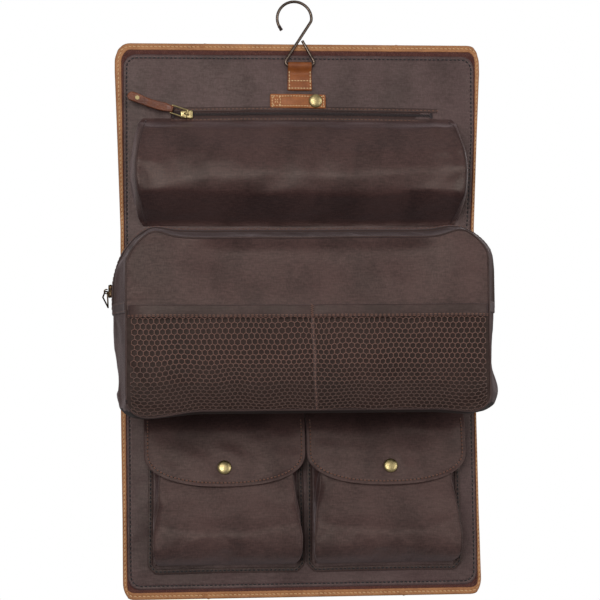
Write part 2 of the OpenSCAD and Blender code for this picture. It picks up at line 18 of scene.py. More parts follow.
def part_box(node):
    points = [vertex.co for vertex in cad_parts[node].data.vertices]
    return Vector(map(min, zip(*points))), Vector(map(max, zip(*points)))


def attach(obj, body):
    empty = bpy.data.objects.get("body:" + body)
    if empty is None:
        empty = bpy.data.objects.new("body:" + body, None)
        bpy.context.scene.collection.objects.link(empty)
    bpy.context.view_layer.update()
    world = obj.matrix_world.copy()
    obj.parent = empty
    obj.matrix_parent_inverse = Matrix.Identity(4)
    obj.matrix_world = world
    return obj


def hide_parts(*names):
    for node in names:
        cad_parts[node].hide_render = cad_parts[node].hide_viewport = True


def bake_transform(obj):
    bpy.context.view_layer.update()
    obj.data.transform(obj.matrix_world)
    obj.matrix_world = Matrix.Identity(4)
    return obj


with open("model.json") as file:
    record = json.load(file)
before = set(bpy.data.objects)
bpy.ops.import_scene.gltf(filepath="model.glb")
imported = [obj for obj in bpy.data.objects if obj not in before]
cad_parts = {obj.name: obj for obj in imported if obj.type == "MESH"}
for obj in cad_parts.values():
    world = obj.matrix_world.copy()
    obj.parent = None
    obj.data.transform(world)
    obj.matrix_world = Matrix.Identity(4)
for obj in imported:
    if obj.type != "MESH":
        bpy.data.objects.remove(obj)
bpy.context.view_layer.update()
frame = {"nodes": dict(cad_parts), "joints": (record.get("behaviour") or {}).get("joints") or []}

MM = 0.001
OUT = (0, -1, 0)  # the way the panel's front faces
FOLD_REACH = 9  # how far each side of a fold its ends are set
UP, LOW = ("upper_section", "middle_section"), ("middle_section", "lower_section")


def box_mm(node):
    """Corners of a CAD node in the row frame, in millimetres."""
    return [np.array(c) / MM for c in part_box(node)]


lining_lo, lining_hi = box_mm("upper_lining")
shell_lo, shell_hi = box_mm("upper_leather_shell")
low_lo, low_hi = box_mm("lower_leather_shell")
mid_lo, mid_hi = box_mm("middle_lining")
ORIGIN = np.array([(shell_lo[0] + shell_hi[0]) / 2, lining_lo[1], 0.0])
HALF_W = (shell_hi[0] - shell_lo[0]) / 2
TOP_Z, BOTTOM_Z = shell_hi[2], low_lo[2]
UPPER_FOLD, LOWER_FOLD = (shell_lo[2] + mid_hi[2]) / 2, (mid_lo[2] + low_hi[2]) / 2
SPLIT_Z = (UPPER_FOLD + LOWER_FOLD) / 2
LINING_INSET = TOP_Z - lining_hi[2]
CORNER_R = 14
BACK_Y = shell_hi[1] - ORIGIN[1]


def row(v):
    """Panel millimetres to row-frame metres."""
    return (np.asarray(v, float) + ORIGIN) * MM


# ---------------------------------------------------------------- shapes

def smooth(t):
    t = np.clip(t, 0, 1)
    return t * t * (3 - 2 * t)


def wobble(x, z, wave, seed, n=7):
    """A smooth random field from -1 to 1, about wave millimetres across."""
    r = np.random.default_rng(seed)
    a, p = r.uniform(0, 2 * math.pi, (2, n))
    k = 2 * math.pi / (wave * r.uniform(0.7, 1.6, n))
    x, z = np.asarray(x, float), np.asarray(z, float)
    return sum(np.sin(k[i] * (x * math.cos(a[i]) + z * math.sin(a[i])) + p[i])
        for i in range(n)) / math.sqrt(n) / 1.4


def hump(t):
    """A smooth rise to 1 and back, centred on 0."""
    return np.exp(-t ** 2)


def stack(*columns):
    """Points from their columns; a single number fills its column."""
    return np.stack(np.broadcast_arrays(*columns), axis=-1).astype(float)


def unit(v):
    return v / np.maximum(np.linalg.norm(v, axis=-1, keepdims=True), 1e-9)


def nearest(path, pts):
    """For each point, the index of the path's closest point."""
    return [int(((path - q) ** 2).sum(1).argmin()) for q in pts]


def grid_faces(rows, cols, wrap=False, flip=False):
    """Quads of a grid of points kept row by row; wrap joins the last column to the first."""
    j = np.arange(cols if wrap else cols - 1)
    first = np.arange(rows - 1)[:, None] * cols
    a, b = (first + j).ravel(), (first + (j + 1) % cols).ravel()
    quads = np.stack([a, b, b + cols, a + cols], axis=1)
    return (quads[:, ::-1] if flip else quads).tolist()


def tube_faces(rings, n, flip=False):
    """Faces of a tube of rings with n points each, closed at both ends."""
    f = grid_faces(rings, n, wrap=True) + [list(range(n))[::-1], [(rings - 1) * n + i for i in range(n)]]
    return [q[::-1] for q in f] if flip else f


def joined(*parts):
    """One mesh from several (points, faces)."""
    v, f, at = [], [], 0
    for p, q in parts:
        v.append(np.asarray(p, float).reshape(-1, 3))
        f += [[i + at for i in face] for face in q]
        at += len(v[-1])
    return np.concatenate(v), f


def rounded_loop(w, hi, lo, r, step):
    """A rounded rectangle as a closed loop of (x, z), with its outward normals."""
    centres = [(w - r, hi - r), (-w + r, hi - r), (-w + r, lo + r), (w - r, lo + r)]
    points, normals = [], []
    n = max(3, math.ceil(r * math.pi / 2 / step))
    for k, c in enumerate(centres):
        for i in range(n + 1):
            a = math.pi / 2 * (k + i / n)
            normals.append((math.cos(a), math.sin(a)))
            points.append((c[0] + r * math.cos(a), c[1] + r * math.sin(a)))
        c2 = centres[(k + 1) % 4]
        end = np.array([c2[0] + r * math.cos(a), c2[1] + r * math.sin(a)])
        run = end - np.array(points[-1])
        m = max(1, round(np.linalg.norm(run) / step))
        first = np.array(points[-1])
        for i in range(1, m):
            points.append(tuple(first + run * i / m))
            normals.append(normals[-1])
    return np.array(points), np.array(normals)


def loop_normals(p):
    """Outward normals of a counter-clockwise closed loop."""
    d = np.roll(p, -1, axis=0) - np.roll(p, 1, axis=0)
    return unit(stack(d[:, 1], -d[:, 0]))


def fill(loop, spacing, start):
    """Triangles inside a loop, with points on a lattice; new points come after start + len(loop)."""
    lo, hi = loop.min(0), loop.max(0)
    xs = np.arange(lo[0] + spacing * 0.6, hi[0], spacing)
    zs = np.arange(lo[1] + spacing * 0.6, hi[1], spacing)
    inner = np.array([(x + (spacing / 2 if k % 2 else 0), z) for k, z in enumerate(zs) for x in xs])
    a, b = loop, np.roll(loop, -1, axis=0)
    inside, near = np.zeros(len(inner), bool), np.full(len(inner), 1e9)
    for p, q in zip(a, b):
        cross = (p[1] > inner[:, 1]) != (q[1] > inner[:, 1])
        if cross.any():
            x = p[0] + (inner[:, 1] - p[1]) * (q[0] - p[0]) / (q[1] - p[1] if q[1] != p[1] else 1e-9)
            inside ^= cross & (inner[:, 0] < x)
    for k in range(0, len(a), 400):
        d = np.linalg.norm(inner[:, None] - a[None, k:k + 400], axis=2).min(1)
        near = np.minimum(near, d)
    inner = inner[inside & (near > spacing * 0.55)]
    pts = [Vector(p) for p in np.concatenate([loop, inner])]
    edges = [(i, (i + 1) % len(loop)) for i in range(len(loop))]
    out, _, faces, orig, _, _ = delaunay_2d_cdt(pts, edges, [], 1, 1e-6)
    order = [o[0] + start if o else -1 for o in orig]
    faces = [[order[i] for i in f] for f in faces]
    return inner, [f for f in faces if -1 not in f]


def plate(loop, normals, rings, spacing, back=True, front=True):
    """A sheet with a shaped edge: rings are (inset, y) from the back round the edge to the front."""
    n = len(loop)
    v, f = [], []
    for inset, y in rings:
        p = loop - normals * inset
        v.append(stack(p[:, 0], y, p[:, 1]))
    v = [np.concatenate(v)]
    f = grid_faces(len(rings), n, wrap=True)
    at = len(v[0])
    for on, ring, flip in ((front, len(rings) - 1, False), (back, 0, True)):
        if not on:
            continue
        start = ring * n
        p = loop - normals * rings[ring][0]
        inner, tri = fill(p, spacing, 0)
        index = lambda i: start + i if i < n else at + i - n
        for t in tri:
            a, b, c = (p[i] if i < n else inner[i - n] for i in t)
            ccw = (b[0] - a[0]) * (c[1] - a[1]) - (b[1] - a[1]) * (c[0] - a[0]) > 0
            t = [index(i) for i in t]
            f.append(t if ccw != flip else t[::-1])
        v.append(stack(inner[:, 0], rings[ring][1], inner[:, 1]))
        at += len(inner)
    return np.concatenate(v), f


def frames_along(p, up, closed=False):
    """Unit tangents and two cross directions at each point of a path, kept near up."""
    t = unit(np.roll(p, -1, axis=0) - np.roll(p, 1, axis=0) if closed else np.gradient(p, axis=0))
    side = unit(np.cross(t, np.broadcast_to(np.asarray(up, float), t.shape)))
    return t, side, np.cross(side, t)


def sweep(path, profile, up, closed=False):
    """A closed profile of (side, up) points carried along a path."""
    path, profile = np.asarray(path, float), np.asarray(profile, float)
    _, side, top = frames_along(path, up, closed)
    v = path[:, None] + side[:, None] * profile[None, :, :1] + top[:, None] * profile[None, :, 1:]
    n = len(profile)
    if not closed:
        return v.reshape(-1, 3), tube_faces(len(path), n, flip=True)
    last = (len(path) - 1) * n
    f = grid_faces(len(path), n, wrap=True, flip=True)
    return v.reshape(-1, 3), f + [[last + (i + 1) % n, (i + 1) % n, i, last + i] for i in range(n)]


def circle(r, n, flat=1.0):
    a = np.arange(n) * 2 * math.pi / n
    return stack(r * np.cos(a), r * flat * np.sin(a))


def revolve(profile, n, origin, axis=OUT, ref=(1, 0, 0)):
    """A turned shape: profile is (radius, height) along the axis from the origin."""
    axis, ref = np.array(axis, float), np.array(ref, float)
    other = np.cross(axis, ref)
    a = np.arange(n) * 2 * math.pi / n
    ring = np.cos(a)[:, None] * ref + np.sin(a)[:, None] * other
    v = np.concatenate([np.asarray(origin) + ring * max(r, 1e-4) + axis * h for r, h in profile])
    return v, tube_faces(len(profile), n)


def spaced(path, step, closed=False):
    """Points evenly spaced along a path."""
    path = np.asarray(path, float)
    if closed:
        path = np.concatenate([path, path[:1]])
    s = np.concatenate([[0], np.cumsum(np.linalg.norm(np.diff(path, axis=0), axis=1))])
    n = max(2, round(s[-1] / step) + (0 if closed else 1))
    at = np.linspace(0, s[-1], n, endpoint=not closed)
    return np.stack([np.interp(at, s, path[:, k]) for k in range(path.shape[1])], axis=1)


PILL_AT, PILL_R = (-0.5, -0.4, 0.0, 0.4, 0.5), (0.05, 0.78, 1.0, 0.78, 0.05)
PILL = tube_faces(5, 6)


def stitches(path, up, pitch=3.4, size=(2.3, 0.75, 0.5), closed=False, turn=0.0, keep=None):
    """Thread stitches along a path. up is the surface's normal, one or one a point; turn slants them."""
    p = spaced(path, pitch, closed)
    if keep is not None:
        p = p[keep(p)]
    if np.ndim(up) > 1:
        up = np.asarray(up)[nearest(path, p)]
    t, side, top = frames_along(p, up, closed)
    c, s = math.cos(turn), math.sin(turn)
    t, side = t * c + side * s, side * c - t * s
    body = np.array([(a * size[0], r * q[0] * size[1] / 2, r * q[1] * size[2] / 2) for a,
            r in zip(PILL_AT, PILL_R) for q in circle(1, 6)])
    v = (p[:, None] + body[None, :, :1] * t[:, None] + body[None, :, 1:2] * side[:, None] + body[None, :, 2:]
        * top[:, None])
    f = [[i + k * len(body) for i in q] for k in range(len(p)) for q in PILL]
    return v.reshape(-1, 3), f


# ---------------------------------------------------------------- pieces

def add(name, data):
    """A new object in the scene."""
    o = bpy.data.objects.new(name, data)
    bpy.context.scene.collection.objects.link(o)
    return o


def make(name, v, f, mat, slot, in_row=False, uv=None):
    """A mesh object from points in the panel's frame (or already in the row frame, in mm)."""
    v = np.asarray(v, float)
    me = bpy.data.meshes.new(name)
    me.from_pydata((v * MM if in_row else row(v)).tolist(), [], [[int(i) for i in q] for q in f])
    if uv is not None:
        layer = me.uv_layers.new(name="Cloth")
        loops = np.zeros(len(me.loops), np.int32)
        me.loops.foreach_get("vertex_index", loops)
        layer.data.foreach_set("uv", (np.asarray(uv, float)[loops] * MM).ravel())
    me.validate()
    me.shade_smooth()
    o = add(name, me)
    me.materials.append(mat)
    return o


def riding(body, name, v, f, mat, slot, replaces=(), **kw):
    o = make(name, v, f, mat, slot, **kw)
    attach(o, body)
    if replaces:
        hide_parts(*replaces)
    return o


def fold_blend(o, pair):
    """Bakes a piece's transform; the fold's ends are worked out, but the piece is not bent."""
    z = UPPER_FOLD if pair is UP else LOWER_FOLD
    ends = [row((0, 0, z + s * FOLD_REACH)) for s in (1, -1)]
    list(pair)
    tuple(ends[0])
    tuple(ends[1])
    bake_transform(o)


def halves(name, v, f, mat, slot, replaces=((), ()), uv=None):
    """A piece as tall as the panel, cut in two halves behind the compartment."""
    made = []
    for tag, pair, out, nodes in (("upper", UP, True, replaces[0]), ("lower", LOW, False, replaces[1])):
        o = make(f"{name}_{tag}", v, f, mat, slot, uv=uv)
        bm = bmesh.new()
        bm.from_mesh(o.data)
        bmesh.ops.bisect_plane(bm, geom=bm.verts[:] + bm.edges[:] + bm.faces[:],
            plane_co=(0, 0, SPLIT_Z * MM), plane_no=(0, 0, 1), clear_inner=out, clear_outer=not out)
        bm.to_mesh(o.data)
        bm.free()
        fold_blend(o, pair)
        if nodes:
            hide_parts(*nodes)
        made.append(o)
    return made


# ---------------------------------------------------------------- materials

class Shader:
    """A Principled material whose detail comes from nodes; constants sit on the shader's own sockets."""

    def __init__(self, name, **sockets):
        self.mat = bpy.data.materials.new(name)
        self.mat.use_nodes = True
        self.tree = self.mat.node_tree
        self.bsdf = self.tree.nodes["Principled BSDF"]
        for k, v in sockets.items():
            self.bsdf.inputs[k.replace("_", " ")].default_value = v

    def node(self, kind, inputs=(), **attrs):
        n = self.tree.nodes.new("ShaderNode" + kind)
        for k, v in attrs.items():
            setattr(n, k, v)
        for k, v in dict(inputs).items():
            if isinstance(v, bpy.types.NodeSocket):
                self.tree.links.new(v, n.inputs[k])
            else:
                n.inputs[k].default_value = v
        return n

    def math(self, op, a, b=0.0):
        return self.node("Math", {0: a, 1: b}, operation=op).outputs[0]

    def mix(self, share, a, b):
        n = self.node("Mix", {0: share, 6: a, 7: b}, data_type="RGBA", clamp_factor=True)
        return n.outputs[2]

    def coords(self, scale=(1, 1, 1), uv=False):
        c = self.node("TexCoord").outputs["UV" if uv else "Object"]
        return self.node("Mapping", {"Vector": c, "Scale": scale}).outputs[0]

    def noise(self, where, size, detail=3.0, rough=0.55):
        return self.node("TexNoise",
            {"Vector": where, "Scale": 1 / (size * MM), "Detail": detail, "Roughness": rough}).outputs[0]

    def levels(self, value, lo, hi, to_lo=0.0, to_hi=1.0):
        return self.node("MapRange", {0: value, 1: lo, 2: hi, 3: to_lo, 4: to_hi}).outputs[0]

    def bump(self, height, distance, strength=1.0, after=None):
        inputs = {"Height": height, "Distance": distance * MM, "Strength": strength}
        if after is not None:
            inputs["Normal"] = after
        return self.node("Bump", inputs).outputs[0]

    def link(self, **to):
        for k, v in to.items():
            self.tree.links.new(v, self.bsdf.inputs[k.replace("_", " ")])
        return self.mat


def rgb(r, g, b):
    """An sRGB colour from 0 to 255 as the linear colour that shaders take."""
    f = lambda c: c / 12.92 if c <= 0.04045 else ((c + 0.055) / 1.055) ** 2.4
    return (f(r / 255), f(g / 255), f(b / 255), 1.0)


def scaled(colour, k):
    """A lighter or darker shade of a linear colour."""
    return tuple(min(1, c * k) for c in colour[:3]) + (1,)


def leather(name, light, dark, rough=0.5, grain=0.9):
    s = Shader(name, IOR=1.5, Specular_IOR_Level=0.45, Coat_Weight=0.08, Coat_Roughness=0.35)
    at = s.coords()
    mottle = s.levels(s.noise(at, 22, 4), 0.3, 0.7)
    blotch = s.levels(s.noise(at, 5, 5, 0.65), 0.35, 0.75)
    cells = s.node("TexVoronoi", {"Vector": at, "Scale": 1 / (grain * MM), "Randomness": 0.9},
        feature="DISTANCE_TO_EDGE").outputs[0]
    crease = s.levels(cells, 0.0, 0.16)
    fine = s.noise(at, 0.35, 3)
    tone = s.mix(mottle, dark, light)
    tone = s.mix(s.math("MULTIPLY", blotch, 0.35), tone, scaled(light, 1.35))
    tone = s.mix(s.levels(crease, 0, 1, 0.35, 0.0), tone, scaled(dark, 0.45))
    height = s.math("ADD", s.math("MULTIPLY", crease, 0.7), s.math("MULTIPLY", fine, 0.5))
    wrinkle = s.noise(s.coords(), 7, 5, 0.7)
    normal = s.bump(wrinkle, 1.2, 0.35)
    normal = s.bump(height, 0.18, 0.55, normal)
    return s.link(Base_Color=tone, Roughness=s.levels(blotch, 0, 1, rough + 0.08, rough - 0.08),
        Normal=normal)


def cloth(name, base, light, weave=0.55, uv=False, rough=0.5, sheen=0.35, tint=(0.82, 0.68, 0.70, 1),
        mottle_and_sheen=0.45, wave=60):
    """Woven nylon: a plain weave with slubs along the weft, broad patches that are partly random tone and
    partly painted sheen, and a satin sheen.
    """
    s = Shader(name, IOR=1.48, Specular_IOR_Level=0.5, Sheen_Weight=sheen, Sheen_Roughness=0.45,
        Sheen_Tint=tint, Specular_Tint=(1.0, 0.87, 0.76, 1))
    at = s.coords(uv=uv)
    split = s.node("SeparateXYZ", {0: at})
    across, up = split.outputs[0], split.outputs[1 if uv else 2]
    k = 2 * math.pi / (weave * MM)
    warp = s.math("SINE", s.math("MULTIPLY", across, k))
    weft = s.math("SINE", s.math("MULTIPLY", up, k))
    over = s.math("MULTIPLY", warp, weft)
    streak = s.node("TexNoise",
        {"Vector": s.coords((170, 700, 700), uv), "Scale": 1.0, "Detail": 3.0, "Roughness": 0.65}).outputs[0]
    thread = s.node("TexNoise",
        {"Vector": s.coords((900, 330, 330), uv), "Scale": 1.0, "Detail": 2.0}).outputs[0]
    mottle_and_sheen_patch = s.noise(s.coords((1.5, 0.8, 0.8), uv), 50, 2)
    shade = s.math("ADD", s.math("MULTIPLY", streak, 0.6), s.math("MULTIPLY", thread, 0.4))
    tone = s.mix(s.levels(shade, 0.39, 0.62), base, light)
    # broad lighter and darker patches: partly random tone, partly painted satin sheen
    tone = s.mix(s.levels(mottle_and_sheen_patch, 0.4, 0.72, 0.0, mottle_and_sheen), tone, scaled(light, 1.3))
    tone = s.mix(s.levels(mottle_and_sheen_patch, 0.28, 0.5, mottle_and_sheen, 0.0), tone, scaled(base, 0.72))
    grain = s.noise(at, 0.9, 2)
    tone = s.mix(s.levels(grain, 0.42, 0.66, 0.0, 0.22), tone, scaled(base, 0.4))
    tone = s.mix(s.levels(over, -1, 1, 0.28, 0.0), tone, scaled(base, 0.35))
    height = s.math("ADD", s.math("MULTIPLY", over, 0.5), s.math("MULTIPLY", shade, 0.9))
    soft = s.bump(s.noise(s.coords((1, 1.6, 1.6), uv), wave, 2), 0.05 * wave, 1.0)
    return s.link(Base_Color=tone, Roughness=s.levels(shade, 0.3, 0.7, rough + 0.07, rough - 0.05),
        Normal=s.bump(height, 0.07, 0.55, soft))


def metal(name, base, dark, rough=0.32, wear=0.5, metallic=1.0):
    s = Shader(name, Metallic=metallic, IOR=1.5)
    at = s.coords()
    patina = s.levels(s.noise(at, 1.6, 5, 0.65), 0.42, 0.68)
    scuff = s.noise(at, 0.9, 4, 0.6)
    tone = s.mix(s.math("MULTIPLY", patina, wear), base, dark)
    return s.link(Base_Color=tone, Roughness=s.levels(patina, 0, 1, rough - 0.05, rough + 0.2),
        Normal=s.bump(scuff, 0.02, 0.25))


def thread(name, base, light):
    s = Shader(name, Specular_IOR_Level=0.35, Sheen_Weight=0.3, Sheen_Roughness=0.5)
    ply = s.node("TexWave", {"Vector": s.coords(), "Scale": 700.0, "Distortion": 2.0, "Detail": 2.0},
        bands_direction="DIAGONAL").outputs["Fac"]
    return s.link(Base_Color=s.mix(ply, base, light), Roughness=s.levels(ply, 0, 1, 0.6, 0.45),
        Normal=s.bump(ply, 0.08, 0.6))


def felt_like(name, base, light):
    s = Shader(name, Specular_IOR_Level=0.15, Sheen_Weight=0.55, Sheen_Roughness=0.6,
        Sheen_Tint=(0.9, 0.6, 0.55, 1))
    at = s.coords()
    fibre = s.noise(at, 0.5, 6, 0.8)
    clump = s.noise(at, 2.2, 3)
    tone = s.mix(s.levels(s.math("ADD", s.math("MULTIPLY", fibre, 0.7), s.math("MULTIPLY", clump, 0.3)),
            0.35, 0.65), base, light)
    return s.link(Base_Color=tone, Roughness=s.levels(fibre, 0.3, 0.7, 0.95, 0.8),
        Normal=s.bump(fibre, 0.5, 0.9))


TAN = leather("tan_leather", rgb(196, 136, 86), rgb(158, 100, 58))
TAN_MID = leather("tan_leather_keeper", rgb(182, 108, 52), rgb(142, 78, 32), 0.5)
TAN_DARK = leather("tan_leather_tab", rgb(172, 98, 42), rgb(126, 64, 24), 0.48)
FIBRE = felt_like("maroon_fibre", rgb(84, 40, 38), rgb(134, 86, 70))
FELT = felt_like("maroon_felt", rgb(58, 26, 27), rgb(104, 62, 52))
LINING = cloth("lining_nylon", rgb(68, 49, 49), rgb(95, 73, 73), rough=0.42, sheen=0.25,
    tint=(0.85, 0.72, 0.74, 1))
NYLON = cloth("pocket_nylon", rgb(60, 41, 40), rgb(92, 67, 64), uv=True, rough=0.5, sheen=0.25)
SATIN = cloth("upper_pocket_nylon", rgb(58, 39, 38), rgb(90, 65, 62), uv=True, rough=0.34, sheen=0.25)
NYLON_FLAT = cloth("pocket_nylon_flat", rgb(53, 35, 34), rgb(75, 54, 52), rough=0.45, sheen=0.25)
# a darker copy of the nylon for the front behind the net: painted shade
NYLON_SHADED_BEHIND_NET = cloth("pocket_nylon_painted_shade_behind_net", rgb(38, 20, 18), rgb(54, 33, 30), uv=True, rough=0.6, sheen=0.1,
    tint=(0.9, 0.5, 0.45, 1))
# darker copies of the nylon for the compartment's top and its underside: painted shade
TOP_SHADE_CLOTH = cloth("pocket_nylon_painted_top_shade", rgb(46, 31, 30), rgb(68, 49, 47), uv=True, rough=0.5, sheen=0.2)
UNDERSIDE_SHADE_CLOTH = cloth("pocket_nylon_painted_underside_shade", rgb(12, 7, 7), rgb(20, 13, 12), rough=0.6, sheen=0.05)
# darker copies of the strand for the net's lower rows: painted shade where the net turns down
NET_SHADED = thread("mesh_strand_painted_shade", rgb(94, 64, 55), rgb(132, 95, 81))
NET_SHADED_DEEP = thread("mesh_strand_painted_deep_shade", rgb(78, 52, 44), rgb(112, 80, 68))
NET = thread("mesh_strand", rgb(108, 74, 64), rgb(150, 108, 92))
TAPE_SIDE = cloth("side_zip_tape", rgb(60, 43, 42), rgb(82, 61, 59), rough=0.5, sheen=0.2)
COIL_SIDE = thread("side_zip_coil", rgb(62, 42, 41), rgb(88, 63, 60))
TAPE = cloth("zip_tape_weave", rgb(46, 23, 23), rgb(64, 35, 34), weave=0.7, rough=0.6, sheen=0.2)
COIL = thread("zip_coil_nylon", rgb(28, 14, 16), rgb(44, 26, 27))
BRASS = metal("antique_brass", rgb(190, 172, 124), rgb(120, 100, 62), 0.34, 0.35)
STEEL = metal("gunmetal", rgb(108, 94, 84), rgb(58, 48, 43), 0.28, 0.6)
RUBBER = felt_like("black_cap", rgb(24, 22, 21), rgb(40, 37, 35))
CREAM = thread("cream_thread", rgb(202, 156, 106), rgb(234, 194, 144))
DARK_THREAD = thread("dark_thread", rgb(16, 9, 10), rgb(32, 20, 20))
BROWN_THREAD = thread("brown_thread", rgb(98, 62, 48), rgb(138, 92, 70))
TAB_THREAD = thread("tab_thread", rgb(216, 172, 118), rgb(244, 212, 164))
SIDE_BRASS = metal("dark_brass", rgb(104, 84, 62), rgb(48, 38, 30), 0.35, 0.7)


# ---------------------------------------------------------------- the layered panel

# How the panel's edge really runs: at each height, X of the leather's silhouette, the turned edge's inner
# side, the lining's edge and the lining's stitch row, on the left and on the right
EDGE_Z = np.array([-57.0, -110.0, -186.0, -334.0, -420.0, -484.0])
EDGE_LEFT = np.array([[-149.6, -144.3, -142.6, -139.9], [-147.8, -143.6, -142.6, -140.0],
        [-145.4, -142.6, -142.2, -140.0], [-145.6, -141.7, -141.0, -138.5], [-144.6, -141.4, -140.8, -138.4],
        [-144.4, -141.0, -140.3, -137.8]])
EDGE_RIGHT = np.array([[151.2, 147.4, 146.4, 144.0], [148.2, 146.0, 145.4, 143.4],
        [144.5, 142.0, 141.2, 138.4], [143.8, 142.2, 141.7, 139.3], [144.6, 142.6, 142.0, 139.6],
        [145.8, 142.6, 141.8, 139.5]])
LINING_DROP = 1.4  # how far the lining's top edge hangs below the CAD's
# the same four lines on the CAD's straight edge
PLAIN_X = np.array([HALF_W, HALF_W - 5.6, HALF_W - LINING_INSET, HALF_W - LINING_INSET - 2.9])


def settle_edge(v):
    """Moves the flat panel's points sideways to where the real edge runs."""
    v = np.array(v, float)
    x, z = v[:, 0].copy(), v[:, 2]
    for side, table in ((-1, EDGE_LEFT), (1, EDGE_RIGHT)):
        to = np.stack([np.interp(-z, -EDGE_Z, side * table[:, k]) for k in range(4)], axis=1)
        d = side * x
        out = np.where(d > PLAIN_X[0], to[:, 0] + d - PLAIN_X[0], d)
        for k in range(3):
            a, b = PLAIN_X[k + 1], PLAIN_X[k]
            m = (d >= a) & (d <= b)
            out = np.where(m, to[:, k + 1] + (d - a) / (b - a) * (to[:, k] - to[:, k + 1]), out)
        m = (d >= 0) & (d < PLAIN_X[3])
        out = np.where(m, d * to[:, 3] / PLAIN_X[3], out)
        v[:, 0] = np.where(d >= 0, side * out, v[:, 0])
    below = TOP_Z - z
    v[:, 2] -= LINING_DROP * np.clip((below - 5.9) / 2, 0, 1) * (1 - smooth((below - 16) / 14))
    return v


def relief(x, z):
    """The lining's gentle waves, in millimetres towards the back."""
    return np.minimum(0.8 * wobble(x, z, 80, 3) + 0.16 * wobble(x, z, 24, 4) - 0.25, 0.5)


